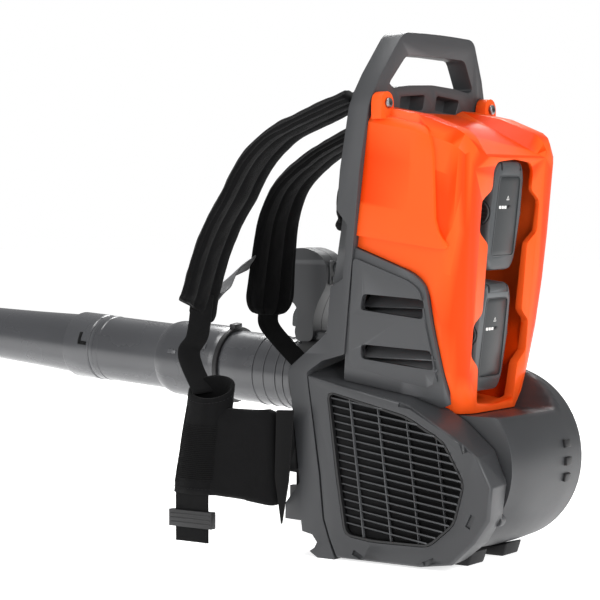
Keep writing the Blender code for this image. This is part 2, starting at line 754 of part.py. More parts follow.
def build_side_panel(sign, label):
    """Vented side panel that follows the body surface between frame, cover and fan housing."""
    panel = add_part(f"side_panel_{label}", body_solid(-0.0008, -0.0008, 0.0, 0.02), "grey_frame")
    half_field = plate(panel_outline(0.0), *sorted((sign * 0.0698, sign * 0.1300)), "X")
    combine(panel, add_cutter(f"panel_field_{label}", half_field), "INTERSECT")
    cut(panel, f"panel_inside_{label}", body_solid(0.0042, 0.0042, -0.03, 0.05))
    cut(panel, f"panel_ahead_{label}", ahead_of_frame())
    slots = (
        [(0.0030, 0.2745), (-0.0660, 0.2705), (-0.0660, 0.2505), (0.0070, 0.2580)],
        [(0.0090, 0.2230), (-0.0710, 0.2190), (-0.0720, 0.1990), (0.0100, 0.2080)],
    )
    for index, corners in enumerate(slots):
        slot = plate(rounded(corners, 0.004, 2), *sorted((sign * 0.0500, sign * 0.1300)), "X")
        cut(panel, f"panel_slot_{label}_{index}", slot)
    if sign < 0:
        cut(panel, "panel_clear_intake", intake_solid(0.0006))
    else:
        cut(panel, "panel_clear_scroll", scroll_right(0.0006))
    cut(panel, f"panel_floor_{label}", box((0.30, 0.30, 0.06), (0.0, 0.0, BODY_BOTTOM_Z + 0.0025 - 0.03)))
    return panel


# ---------------------------------------------------------------- battery packs

def pack_matrix(level):
    """Frame of one pack: origin in the middle of its outer face."""
    shift = Matrix.Translation((0.0, PACK_INSET, level * 0.5 * PACK_PITCH))
    return bay_matrix() @ shift


def build_pack(label, level):
    """One battery pack with its label panel and two side release buttons."""
    matrix = pack_matrix(level)
    outline = rounded(mirrored([
        (0.0, 0.5 * PACK_HEIGHT), (0.0230, 0.5 * PACK_HEIGHT - 0.001), (0.0305, 0.5 * PACK_HEIGHT - 0.014),
        (0.5 * PACK_WIDTH, 0.0), (0.0290, -0.5 * PACK_HEIGHT + 0.012),
        (0.0220, -0.5 * PACK_HEIGHT), (0.0, -0.5 * PACK_HEIGHT),
    ]), 0.006, 2)
    rings = []
    for y, inset in ((0.0, 0.0050), (0.0015, 0.0015), (0.0050, 0.0), (PACK_DEPTH, 0.0)):
        across = 1.0 - 2.0 * inset / PACK_WIDTH
        along = 1.0 - 2.0 * inset / PACK_HEIGHT
        rings.append([(x * across, y, z * along) for x, z in outline])
    case = add_part(f"battery_{label}", loft(rings), "pack_grey", matrix)
    face = [(0.0215, 0.0400), (0.0225, -0.0410), (-0.0225, -0.0410), (-0.0215, 0.0400)]
    recess = plate(rounded(face, 0.006, 3), -0.01, 0.0012, "Y")
    cut(case, f"battery_{label}_recess", recess, matrix)
    for sign in (-1, 1):
        slot = box((0.0035, 0.02, 0.0090), (sign * 0.0190, 0.0, 0.5 * PACK_HEIGHT - 0.006), 0.001, 1)
        cut(case, f"battery_{label}_slot_{sign + 1}", slot, matrix)
        pocket = rod(PACK_BUTTON_RADIUS + 0.0006, sign * 0.0262 if sign > 0 else -0.05,
                     0.05 if sign > 0 else -0.0262, "X", (0.0150, 0.0020), 20)
        cut(case, f"battery_{label}_pocket_{sign + 1}", pocket, matrix)
    inner = [(0.0212, 0.0397), (0.0222, -0.0407), (-0.0222, -0.0407), (-0.0212, 0.0397)]
    add_part(f"battery_{label}_label", plate(rounded(inner, 0.006, 3), 0.0002, 0.0012 - GAP, "Y"),
             "pack_dark", matrix)
    for sign, side in ((-1, "left"), (1, "right")):
        low, high = sorted((sign * (0.0262 + GAP + PACK_BUTTON_TRAVEL), sign * (0.5 * PACK_WIDTH + 0.0015)))
        disc = rod(PACK_BUTTON_RADIUS, low, high, "X", (0.0150, 0.0020), 20)
        button = add_part(f"battery_{label}_button_{side}", disc, "black_plastic", matrix)
        round_edges(button, 0.0008, 1, 60.0)


def build_battery_bay():
    """Dock plate behind the well with a terminal block for each pack."""
    bay = bay_matrix()
    sheet = plate(well_outline(WELL_WALL), WELL_DEPTH + GAP, WELL_DEPTH + GAP + 0.0040, "Y")
    dock = add_part("battery_dock", sheet, "black_plastic", bay)
    for level, label in ((1, "upper"), (-1, "lower")):
        depth = WELL_DEPTH - PACK_DEPTH - GAP
        block = box((0.036, depth, 0.0300), (0.0, WELL_DEPTH - 0.5 * depth, level * 0.5 * PACK_PITCH))
        add_part(f"terminal_block_{label}", block, "black_plastic", bay)
    return dock


def build_controller():
    """Motor controller with cooling fins, in the frame's rear pocket."""
    bay = lean_matrix()
    mesh = box((0.090, 0.0090, 0.0700), (0.0, 0.0137, 0.3950))
    mesh.transform(bay)
    controller = add_part("controller", mesh, "steel")
    for index in range(7):
        groove = box((0.0050, 0.0080, 0.0900), ((index - 3) * 0.0120, 0.0090, 0.3950))
        groove.transform(bay)
        cut(controller, f"controller_groove_{index}", groove)
    return controller


# ---------------------------------------------------------------- fan housing

def scroll_ring(x, radius, centre, top, grow):
    """One ring of the fan housing at a station across the machine, as (X, Y, Z)."""
    ring = []
    for y, z in arc(centre, radius + grow, 0.0, 348.0, 29):
        y = min(y, SCROLL_FRONT_Y + grow)
        z = max(min(z, top + grow), SCROLL_BOTTOM_Z - grow)
        ring.append((x, y, z))
    return ring


def scroll_left(grow=0.0, ends=0.0):
    """Fan housing from the intake to the split, flattened on top under the battery bay."""
    centre = (SCROLL_Y, SCROLL_Z)
    table = ((SCROLL_LEFT_X - ends, 0.0840), (-0.0300, 0.0890), (0.0, 0.0920), (0.0400, 0.0932),
             (SCROLL_SPLIT_X + ends, 0.0915))
    return loft([scroll_ring(x, radius, centre, SCROLL_SADDLE_Z, grow) for x, radius in table])


def scroll_right(grow=0.0, ends=0.0):
    """Fan housing from the split to the outlet, gathering the air to the elbow."""
    start = SCROLL_SPLIT_X + GAP - ends - max(grow, 0.0)
    table = (
        (start, 0.0915, 0.0), (0.0900, 0.0870, 0.06), (0.1000, 0.0790, 0.28),
        (0.1080, 0.0660, 0.62), (0.1125, 0.0520, 0.92), (0.1140, OUTLET_RADIUS, 1.0),
        (OUTLET_X + ends, OUTLET_RADIUS, 1.0),
    )
    rings = []
    for x, radius, share in table:
        centre = (SCROLL_Y + share * (ELBOW_Y - SCROLL_Y), SCROLL_Z + share * (ELBOW_Z - SCROLL_Z))
        rings.append(scroll_ring(x, radius, centre, 1.0, grow))
    return loft(rings)


def build_fan_housing():
    """The two halves of the fan housing, with the motor's spider in the left one."""
    left = add_part("volute_left", scroll_left(), "grey_housing")
    cut(left, "volute_left_inside", scroll_left(-WALL, -WALL))
    opening = scroll_left(-WALL - 0.0010, 0.0)
    half = box((0.06, 0.4, 0.4), (SCROLL_SPLIT_X, 0.0, 0.1))
    mouth = add_cutter("volute_left_mouth", opening)
    combine(mouth, add_cutter("volute_left_mouth_half", half), "INTERSECT")
    shift = Matrix.Translation((0.010, 0.0, 0.0))
    mouth.matrix_world = shift
    combine(left, mouth, "DIFFERENCE")
    cut(left, "volute_left_inlet", rod(0.0500, -0.10, -0.04, "X", (FAN_Y, FAN_Z), 32))
    axis = (FAN_Y, FAN_Z)
    middle = MOTOR_X_HIGH - 0.0130
    spider = add_cutter("motor_spider", box((0.0060, 0.2400, 0.0100), (middle, SCROLL_Y, FAN_Z)))
    join(spider, "motor_spider_post", box((0.0060, 0.0100, 0.2400), (middle, FAN_Y, SCROLL_Z)))
    hub = rod(MOTOR_RADIUS + 0.0040, MOTOR_X_HIGH - 0.0200, MOTOR_X_HIGH - 0.0050, "X", axis, 32)
    join(spider, "motor_spider_hub", hub)
    combine(spider, add_cutter("motor_spider_limit", scroll_left(-0.0010)), "INTERSECT")
    combine(left, spider, "UNION")
    cut(left, "motor_seat", rod(MOTOR_RADIUS + GAP, MOTOR_X_LOW - 0.02, MOTOR_X_HIGH + 0.01, "X", axis, 32))
    right = add_part("volute_right", scroll_right(), "grey_housing")
    cut(right, "volute_right_inside", scroll_right(-WALL, -WALL))
    mouth = add_cutter("volute_right_mouth", scroll_left(-WALL - 0.0010, 0.0))
    limit = add_cutter("volute_right_mouth_half", box((0.06, 0.4, 0.4), (SCROLL_SPLIT_X - 0.0190, 0.0, 0.1)))
    combine(mouth, limit, "INTERSECT")
    mouth.matrix_world = Matrix.Translation((0.0150, 0.0, 0.0))
    combine(right, mouth, "DIFFERENCE")
    cut(right, "volute_right_outlet", rod(OUTLET_RADIUS - WALL, 0.1080, 0.13, "X", (ELBOW_Y, ELBOW_Z), 30))
    return left


def build_fan():
    """Impeller, motor, shaft and bearings on the fan axis."""
    axis = (FAN_Y, FAN_Z)
    matrix = Matrix.Translation((0.0, FAN_Y, FAN_Z)) @ Matrix.Rotation(math.pi / 2, 4, "Y")
    bore = SHAFT_RADIUS + RUNNING_CLEARANCE
    motor = turned(
        "fan_motor", [(MOTOR_RADIUS, MOTOR_X_LOW), (MOTOR_RADIUS, MOTOR_X_HIGH)],
        [(BEARING_RADIUS + GAP, MOTOR_X_LOW), (BEARING_RADIUS + GAP, MOTOR_X_HIGH)], "steel", matrix, 32,
    )
    for label, low in (("front", MOTOR_X_LOW), ("rear", MOTOR_X_HIGH - 0.0070)):
        turned(
            f"motor_bearing_{label}", [(BEARING_RADIUS, low), (BEARING_RADIUS, low + 0.0070)],
            [(bore, low), (bore, low + 0.0070)], "steel", matrix, 24,
        )
    shaft = rod(SHAFT_RADIUS, IMPELLER_X_LOW - 0.002, MOTOR_X_HIGH - 0.001, "X", axis, 24)
    add_part("fan_shaft", shaft, "steel")
    disc = rod(IMPELLER_RADIUS, IMPELLER_X_HIGH - 0.0030, IMPELLER_X_HIGH, "X", axis, 28)
    wheel = add_part("impeller", disc, "black_plastic")
    join(wheel, "impeller_hub", rod(0.0130, IMPELLER_X_LOW, IMPELLER_X_HIGH, "X", axis, 24))
    span = IMPELLER_X_HIGH - IMPELLER_X_LOW
    centre = Matrix.Translation((IMPELLER_X_LOW + 0.5 * span, FAN_Y, FAN_Z))
    for index in range(IMPELLER_BLADES):
        blade = box((span - 0.002, 0.0470, 0.0024), (0.0, 0.0, 0.0))
        around = Matrix.Rotation(2 * math.pi * index / IMPELLER_BLADES, 4, "X")
        pitch = Matrix.Rotation(math.radians(25), 4, "X")
        turn = centre @ around @ Matrix.Translation((0, 0.0345, 0)) @ pitch
        join(wheel, f"impeller_blade_{index}", blade, turn)
    cut(wheel, "impeller_bore", rod(SHAFT_RADIUS + GAP, -0.1, 0.1, "X", axis, 24))
    return motor


def build_intake():
    """Left intake cover with its slatted grille."""
    cover = add_part("intake_cover_left", intake_solid(), "grey_housing")
    front = [(INTAKE_FACE_X + WALL, y, z) for y, z in intake_outline(-WALL)]
    back = [(INTAKE_BACK_X + 0.0100, y, z) for y, z in intake_back_outline(-WALL)]
    cut(cover, "intake_inside", loft([front, back]))
    cut(cover, "intake_opening", plate(grille_outline(0.0), -0.12, -0.08, "X"))
    low = INTAKE_FACE_X + 0.0010
    ring = plate(grille_outline(-GAP), low, INTAKE_FACE_X + 0.0060, "X", [grille_outline(-0.0028)])
    grille = add_part("intake_grille", ring, "black_plastic")
    slats = bmesh.new()
    for index in range(SLAT_COUNT):
        place = Matrix.Translation((INTAKE_FACE_X + 0.0035, -0.04, 0.0300 + index * SLAT_PITCH))
        size = Matrix.Diagonal((0.0044, 0.30, SLAT_THICK, 1.0))
        bmesh.ops.create_cube(slats, size=1.0, matrix=place @ Matrix.Rotation(INTAKE_TILT, 4, "X") @ size)
    limit = add_cutter("grille_limit", plate(grille_outline(-0.0012), -0.12, -0.08, "X"))
    slat_set = add_cutter("grille_slats", mesh_from(slats))
    combine(slat_set, limit, "INTERSECT")
    ribs = bmesh.new()
    for index in range(RIB_COUNT):
        place = Matrix.Translation((INTAKE_FACE_X + 0.0038, -0.0850 + index * RIB_PITCH, 0.1))
        size = Matrix.Diagonal((0.0034, RIB_THICK, 0.30, 1.0))
        bmesh.ops.create_cube(ribs, size=1.0, matrix=place @ Matrix.Rotation(-0.12, 4, "X") @ size)
    rib_set = add_cutter("grille_ribs", mesh_from(ribs))
    combine(rib_set, limit, "INTERSECT")
    combine(grille, rib_set, "UNION")
    combine(grille, slat_set, "UNION")
    return cover


def grille_outline(grow):
    """The intake opening, as (Y, Z)."""
    corners = [
        (0.0484, 0.1735), (-0.0468, 0.1535), (-0.0910, 0.1305), (-0.1150, 0.0900), (-0.1037, 0.0480),
        (-0.0740, 0.0230), (-0.0067, 0.0220), (0.0268, 0.0260), (0.0373, 0.0870),
    ]
    centre = Vector((-0.035, 0.09))
    scaled = []
    for corner in corners:
        out = (Vector(corner) - centre).normalized()
        scaled.append(tuple(Vector(corner) + out * grow))
    return rounded(scaled, 0.008, 2)


def build_feet():
    """Two rear feet under the fan housing."""
    for label, x, top in (("left", -0.0400, 0.0122), ("right", 0.0320, SCROLL_BOTTOM_Z)):
        flat = top - GAP
        outline = [(-0.0940, 0.0), (-0.0480, 0.0), (-0.0480, flat), (-0.0800, flat), (-0.0990, 0.0145)]
        add_part(f"foot_{label}", plate(outline, x - 0.0160, x + 0.0160, "X"), "black_plastic")


# ---------------------------------------------------------------- blower tube

def tube_matrix():
    """Frame of the blower tube: Z runs along the tube, -Y is up, the origin is on the elbow's hinge."""
    return Matrix.Translation((TUBE_X, ELBOW_Y, ELBOW_Z)) @ Matrix.Rotation(-math.pi / 2 + TUBE_RISE, 4, "X")


def elbow_route(radius, start_extra, end_extra):
    """Rings of the quarter-turn elbow, in the tube's frame."""
    rings = []
    stations = [(-(TUBE_X - ELBOW_X) - start_extra, 0.0, 0.0)]
    stations += [(None, 90.0 * step / 6, 0.0) for step in range(7)]
    stations.append((None, 90.0, BELLOWS_START - GAP - ELBOW_BEND + end_extra))
    for first, angle, beyond in stations:
        turn = math.radians(angle)
        ring = []
        for y, x in arc((0.0, 0.0), radius, 0.0, 342.0, 19):
            if first is not None:
                ring.append((first, y, x))
            else:
                reach = ELBOW_BEND - x
                across = -ELBOW_BEND + reach * math.sin(turn)
                ring.append((across, y, ELBOW_BEND - reach * math.cos(turn) + beyond))
        rings.append(ring)
    return rings


def build_tube():
    """Elbow, bellows, clamps and the pipes down to the nozzle."""
    tube = tube_matrix()
    elbow = add_part("elbow", loft(elbow_route(ELBOW_RADIUS, 0.0, 0.0)), "grey_pipe", tube)
    cut(elbow, "elbow_inside", loft(elbow_route(ELBOW_RADIUS - WALL, 0.01, 0.01)), tube)
    pitch = (BELLOWS_END - BELLOWS_START - 0.0240) / BELLOWS_RIBS
    wall = [(ELBOW_RADIUS, BELLOWS_START)]
    for index in range(BELLOWS_RIBS):
        low = BELLOWS_START + 0.0120 + index * pitch
        wall += [(BELLOWS_ROOT, low), (BELLOWS_CREST, low + 0.5 * pitch)]
    wall += [(BELLOWS_ROOT, BELLOWS_END - 0.0120), (ELBOW_RADIUS, BELLOWS_END)]
    bore = [(BELLOWS_BORE, BELLOWS_START), (BELLOWS_BORE, BELLOWS_END)]
    turned("bellows", wall, bore, "black_rubber", tube, 24)
    for label, middle in (("rear", BELLOWS_START), ("front", BELLOWS_END)):
        ends = (middle - 0.0080, middle + 0.0080)
        outer = [(ELBOW_RADIUS + 0.0033, end) for end in ends]
        seat = [(ELBOW_RADIUS + GAP, end) for end in ends]
        turned(f"bellows_clamp_{label}", outer, seat, "black_plastic", tube, 32)
    inner = PIPE_RADIUS - PIPE_WALL
    turned(
        "rear_pipe", [(PIPE_RADIUS, BELLOWS_END + GAP), (PIPE_RADIUS, REAR_PIPE_END)],
        [(inner, BELLOWS_END + GAP), (inner, REAR_PIPE_END)], "grey_pipe", tube, 32,
    )
    seat = MID_PIPE_RADIUS + RUNNING_CLEARANCE + GAP
    turned(
        "pipe_sleeve",
        [(PIPE_RADIUS + 0.0020, SLEEVE_START), (SLEEVE_RADIUS, SLEEVE_START + 0.006),
         (SLEEVE_RADIUS, SLEEVE_END - 0.008), (MID_PIPE_RADIUS + 0.0018, SLEEVE_END)],
        [(PIPE_RADIUS + GAP, SLEEVE_START), (PIPE_RADIUS + GAP, REAR_PIPE_END + GAP),
         (seat, REAR_PIPE_END + GAP), (seat, SLEEVE_END)], "grey_pipe", tube, 32,
    )
    start = REAR_PIPE_END + 2 * GAP
    turned(
        "mid_pipe", [(MID_PIPE_RADIUS, start), (MID_PIPE_RADIUS, COLLAR_START)],
        [(MID_PIPE_RADIUS - PIPE_WALL, start), (MID_PIPE_RADIUS - PIPE_WALL, COLLAR_START)],
        "grey_pipe", tube, 32,
    )
    low = COLLAR_START + GAP
    tip = FRONT_PIPE_TIP
    turned(
        "front_pipe",
        [(MID_PIPE_RADIUS, low), (COLLAR_RADIUS, low + 0.002), (COLLAR_RADIUS, COLLAR_END),
         (0.0375, COLLAR_END + 0.004), (0.0330, COLLAR_END + 0.130), (tip, FRONT_PIPE_END)],
        [(MID_PIPE_RADIUS - PIPE_WALL, low), (0.0352, COLLAR_END), (0.0308, COLLAR_END + 0.130),
         (tip - PIPE_WALL, FRONT_PIPE_END)], "grey_pipe", tube, 32,
    )
    low = FRONT_PIPE_END + GAP
    turned(
        "nozzle", [(tip, low), (tip + 0.0015, low + 0.003), (NOZZLE_TIP, NOZZLE_END)],
        [(tip - PIPE_WALL, low), (NOZZLE_TIP - PIPE_WALL, NOZZLE_END)], "grey_pipe", tube, 32,
    )


# ---------------------------------------------------------------- control handle

def grip_outline():
    """Side view of the grip, as (Y, Z) in world coordinates."""
    return [
        (0.2360, 0.2020), (0.2600, 0.2020), (0.2640, 0.2140), (0.2580, 0.2280), (0.2600, 0.2440),
        (0.2790, 0.2560), (0.2890, 0.2760), (0.2850, 0.2980), (0.2700, 0.3110), (0.2480, 0.3130),
        (0.2270, 0.3060), (0.2160, 0.2920), (0.2170, 0.2680), (0.2290, 0.2500), (0.2370, 0.2280),
    ]


def build_handle():
    """Clamp ring and post, grip, throttle trigger, keypad and power button."""
    tube = tube_matrix()
    top = PIPE_RADIUS + GAP + BRACKET_THICK
    bracket = turned(
        "handle_bracket", [(top, BRACKET_START), (top, BRACKET_START + BRACKET_LENGTH)],
        [(PIPE_RADIUS + GAP, BRACKET_START), (PIPE_RADIUS + GAP, BRACKET_START + BRACKET_LENGTH)],
        "grey_frame", tube, 32,
    )
    height = PIPE_RADIUS + 0.0010
    boss = (0.0, -height - 0.0050, BRACKET_START + 0.5 * BRACKET_LENGTH)
    join(bracket, "bracket_boss", box((0.0240, 0.0100, 0.0240), boss), tube)
    low = TUBE_X - GRIP_HALF_WIDTH
    high = TUBE_X + GRIP_HALF_WIDTH
    grip = add_part("control_grip", plate(grip_outline(), low, high, "X"), "grey_frame")
    seat = add_cutter("grip_seat", box((0.0246, 0.0106, 0.0246), boss), tube)
    combine(grip, seat, "DIFFERENCE")
    ring = rod(top + GAP, BRACKET_START - 0.05, BRACKET_START + 0.08, "Z", (0.0, 0.0), 32)
    cut(grip, "grip_clear_bracket", ring, tube)
    trigger_slot = plate(
        [(0.2450, 0.2160), (0.2900, 0.2160), (0.2900, 0.2500), (0.2560, 0.2490), (0.2470, 0.2440)],
        TUBE_X - 0.0075, TUBE_X + 0.0075, "X",
    )
    cut(grip, "grip_trigger_slot", trigger_slot)
    pad = [(-0.0125, 0.2700), (0.0125, 0.2700), (0.0125, 0.2960), (-0.0125, 0.2960)]
    recess = plate(rounded([(TUBE_X + x, z) for x, z in pad], 0.003, 2), 0.2100, 0.2190, "Y")
    cut(grip, "grip_keypad_recess", recess)
    round_edges(grip, 0.0040, 2, 45.0)
    key_face = [(x * 0.97, 0.2830 + (z - 0.2830) * 0.97) for x, z in pad]
    key_plate = plate(rounded([(TUBE_X + x, z) for x, z in key_face], 0.003, 2), 0.2170, 0.2187, "Y")
    keypad = add_part("grip_keypad", key_plate, "black_plastic")
    cut(keypad, "keypad_button_hole", rod(0.0062, 0.20, 0.23, "Y", (TUBE_X, 0.2890), 20))
    cut(grip, "grip_button_hole", rod(0.0062, 0.20, 0.2240, "Y", (TUBE_X, 0.2890), 20))
    dome = rod(0.0058, 0.2158, 0.2240 - BUTTON_TRAVEL - GAP, "Y", (TUBE_X, 0.2890), 20)
    add_part("power_button", dome, "black_plastic")
    trigger = [
        (0.2500, 0.2440), (0.2560, 0.2465), (0.2660, 0.2440), (0.2735, 0.2340), (0.2745, 0.2190),
        (0.2690, 0.2180), (0.2670, 0.2300), (0.2610, 0.2380), (0.2520, 0.2390),
    ]
    add_part("throttle_trigger", plate(trigger, TUBE_X - 0.0065, TUBE_X + 0.0065, "X"), "pack_grey")


# ---------------------------------------------------------------- harness

def shoulder_points(side):
    """Centre line of a shoulder strap, as (X, Y, Z)."""
    if side == "left":
        line = [
            (0.0140, 0.4725), (0.0360, 0.4652), (0.0765, 0.4500), (0.1085, 0.4365), (0.1325, 0.4190),
            (0.1495, 0.3995), (0.1665, 0.3720), (0.1870, 0.3420), (0.2050, 0.3040), (0.2195, 0.2587),
            (0.2215, 0.2360),
        ]
        return [(-STRAP_X, y, z) for y, z in line]
    line = [(0.0140, 0.4725), (0.0500, 0.4640), (0.1000, 0.4520), (0.1500, 0.4330), (0.1880, 0.4130),
            (0.2235, 0.3830), (0.2415, 0.3460), (0.2495, 0.3000), (0.2535, 0.2650), (0.2570, 0.2365)]
    return [(STRAP_X, y, z) for y, z in line]


def build_harness():
    """Back pad, shoulder straps, webbing, chest strap and hip pads."""
    half = [(0.0, 0.4600), (0.0900, 0.4560), (0.0980, 0.4300), (0.0980, 0.3800), (0.0940, 0.3360),
            (0.0, 0.3290)]
    low = FRAME_DEPTH + GAP
    mesh = plate(rounded(mirrored(half), 0.010, 2), low, low + PAD_THICK, "Y")
    mesh.transform(lean_matrix())
    add_part("back_pad", mesh, "black_fabric")
    for side, yaw in (("left", 0.0), ("right", 0.44)):
        route = smooth_route(shoulder_points(side), 2)
        faces = []
        for index, point in enumerate(route):
            before = route[max(index - 1, 0)]
            after = route[min(index + 1, len(route) - 1)]
            along = (after - before).normalized()
            normal = Vector((1.0, 0.0, 0.0)).cross(along)
            share = max(0.0, (index / (len(route) - 1) - 0.45) / 0.55)
            faces.append(Matrix.Rotation(yaw * share, 3, along) @ normal)
        add_part(f"shoulder_strap_{side}", sweep(route, STRAP_WIDTH, STRAP_THICK, faces, 3), "black_fabric")
    webs = {
        "left": [(-0.0900, 0.2215, 0.2250), (-0.0950, 0.2260, 0.2050), (-0.1040, 0.2200, 0.1790)],
        "right": [(0.0900, 0.2560, 0.2250), (0.0940, 0.2400, 0.2050), (0.1020, 0.2160, 0.1790)],
    }
    for side, points in webs.items():
        route = smooth_route(points, 2)
        band = sweep(route, WEBBING_WIDTH, WEBBING_THICK, (0.43, 0.90, 0.0), 1)
        add_part(f"shoulder_webbing_{side}", band, "black_fabric")
    line = [(-0.0500, 0.2230, 0.2620), (-0.0200, 0.2400, 0.2700), (0.0150, 0.2520, 0.2850),
            (0.0480, 0.2580, 0.2950)]
    chest = smooth_route(line, 2)
    add_part("chest_strap", sweep(chest, 0.0220, WEBBING_THICK, (0.0, 0.80, -0.60), 1), "black_fabric")
    for side, sign in (("left", -1), ("right", 1)):
        outline = [(0.1020, HIP_BOTTOM_Z), (HIP_FRONT_Y, HIP_BOTTOM_Z + 0.0080),
                   (HIP_FRONT_Y - 0.0160, HIP_TOP_Z), (0.1900, HIP_TOP_Z - 0.0050),
                   (0.1850, HIP_TOP_Z - 0.0170), (0.1020, HIP_TOP_Z - 0.0190)]
        middle = sign * HIP_X
        pad = plate(rounded(outline, 0.010, 2), middle - 0.5 * HIP_THICK, middle + 0.5 * HIP_THICK, "X")
        add_part(f"hip_pad_{side}", pad, "black_fabric")
        x = middle + sign * (0.5 * HIP_THICK + GAP + 0.5 * WEBBING_THICK)
        line = [(0.2090, 0.1500), (0.2100, 0.1000), (0.2120, 0.0500), (0.2120, 0.0250), (0.2120, 0.0030)]
        route = smooth_route([(x, y, z) for y, z in line], 1)
        band = sweep(route, BELT_WIDTH, WEBBING_THICK, (1.0, 0.0, 0.0), 1)
        add_part(f"hip_webbing_{side}", band, "black_fabric")
        reach = 0.5 * BELT_WIDTH + 0.0060
        outline = [(0.2120 - reach, 0.0200), (0.2120 + reach, 0.0200), (0.2120 + reach, 0.0380),
                   (0.2120 - reach, 0.0380)]
        buckle = add_part(f"hip_buckle_{side}", plate(outline, x - 0.0038, x + 0.0038, "X"), "black_plastic")
        slot = [(x, 0.2120, 0.06), (x, 0.2120, 0.0)]
        hole = sweep(slot, BELT_WIDTH + 0.0012, WEBBING_THICK + 0.0007, (1.0, 0.0, 0.0), 1)
        cut(buckle, f"hip_buckle_slot_{side}", hole)
        link = plate([(0.0870, 0.0900), (0.1017, 0.0920), (0.1017, 0.1400), (0.0900, 0.1420)],
                     *sorted((sign * 0.0830, sign * (HIP_X + 0.5 * HIP_THICK))), "X")
        joined = add_part(f"hip_tab_{side}", link, "black_fabric")
        cheek = [(0.0, 0.0), (0.0, 0.2), (0.0930, 0.2), (0.0860, 0.07), (0.0860, 0.0)]
        ends = sorted((sign * 0.05, sign * (CHEEK_HALF + GAP)))
        cut(joined, f"hip_tab_clear_{side}", plate(cheek, *ends, "X"))


def main():
    """Model every piece in its own collection; cutters stay in a second one."""
    clear_scene()
    make_collection(OBJECT_NAME)
    make_collection("cutters").hide_render = True
    build_frame()
    build_rear_cover()
    build_ear_screws()
    build_side_panel(-1, "left")
    build_side_panel(1, "right")
    build_intake()
    build_fan_housing()
    build_fan()
    build_feet()
    build_pack("upper", 1)
    build_pack("lower", -1)
    build_battery_bay()
    build_controller()
    build_tube()
    build_handle()
    build_harness()


main()
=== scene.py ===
"""Visual model of the battery backpack leaf blower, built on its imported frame.

Metres throughout. +Z is up, +Y is the way the wearer faces, and +X is the wearer's right, where the blower
tube runs. Each sub-assembly is a class; main() builds them in order.
"""

from __future__ import annotations

import logging
import math
from dataclasses import dataclass, field
from enum import Enum
from typing import Iterable, Sequence

import bmesh
import bpy
import numpy as np
from bmesh.types import BMesh
from bpy.types import Material, Mesh, Node, NodeSocket, NodeTree, Object
from mathutils import Matrix, Vector, noise


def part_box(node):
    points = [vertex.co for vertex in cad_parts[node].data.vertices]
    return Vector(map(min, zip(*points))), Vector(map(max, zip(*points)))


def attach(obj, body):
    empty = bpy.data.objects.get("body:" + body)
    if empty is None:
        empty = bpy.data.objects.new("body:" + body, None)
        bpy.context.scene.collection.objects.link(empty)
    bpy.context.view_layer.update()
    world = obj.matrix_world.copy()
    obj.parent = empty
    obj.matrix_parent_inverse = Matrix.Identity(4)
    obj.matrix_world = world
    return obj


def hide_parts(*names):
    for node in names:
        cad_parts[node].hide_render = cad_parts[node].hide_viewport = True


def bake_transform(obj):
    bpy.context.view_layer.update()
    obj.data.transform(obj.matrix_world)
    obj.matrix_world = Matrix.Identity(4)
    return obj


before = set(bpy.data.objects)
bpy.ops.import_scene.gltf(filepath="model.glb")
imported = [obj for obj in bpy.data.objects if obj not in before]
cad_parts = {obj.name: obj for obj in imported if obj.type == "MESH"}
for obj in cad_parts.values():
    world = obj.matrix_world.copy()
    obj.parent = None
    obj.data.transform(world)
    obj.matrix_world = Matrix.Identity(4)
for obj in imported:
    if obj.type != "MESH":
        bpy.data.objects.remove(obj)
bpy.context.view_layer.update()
LOG = logging.getLogger("backpack_blower")

Point = tuple[float, float, float]
Flat = tuple[float, float]


class Along(Enum):
    """The axis a flat outline is extruded along."""

    X = "X"
    Y = "Y"
    Z = "Z"


# ---------------------------------------------------------------- materials

def linear(hex_colour: str) -> tuple[float, float, float, float]:
    """Turn an sRGB hex colour into linear RGBA.

    Args:
        hex_colour: six hex digits, such as "1A1A1B".

    Returns:
        The linear colour with alpha 1.
    """
    channels = [int(hex_colour[start:start + 2], 16) / 255.0 for start in (0, 2, 4)]
    made = [value / 12.92 if value <= 0.04045 else ((value + 0.055) / 1.055) ** 2.4 for value in channels]
    return (made[0], made[1], made[2], 1.0)


def add_node(
    tree: NodeTree, kind: str, settings: dict | None = None, values: dict | None = None,
    links: dict | None = None,
) -> Node:
    """Add a node with its settings, socket values and incoming links.

    Args:
        tree: the node tree.
        kind: the node's type name.
        settings: attributes of the node.
        values: socket name or index to value.
        links: socket name or index to the output socket that feeds it.

    Returns:
        The new node.
    """
    node = tree.nodes.new(kind)
    for name, value in (settings or {}).items():
        setattr(node, name, value)
    for key, value in (values or {}).items():
        node.inputs[key].default_value = value
    for key, socket in (links or {}).items():
        tree.links.new(socket, node.inputs[key])
    return node


def graded(
    tree: NodeTree, socket: NodeSocket, spread: tuple[float, float, float, float],
) -> NodeSocket:
    """Map a socket's range onto another; the spread holds from low, from high, to low and to high."""
    values = dict(enumerate(spread, 1))
    return add_node(tree, "ShaderNodeMapRange", None, values, {0: socket}).outputs[0]


def blended(
    tree: NodeTree, share: NodeSocket, low: Sequence[float], high: Sequence[float],
) -> NodeSocket:
    """Mix two colours by a socket's share."""
    values = {6: low, 7: high}
    return add_node(tree, "ShaderNodeMix", {"data_type": "RGBA"}, values, {0: share}).outputs[2]


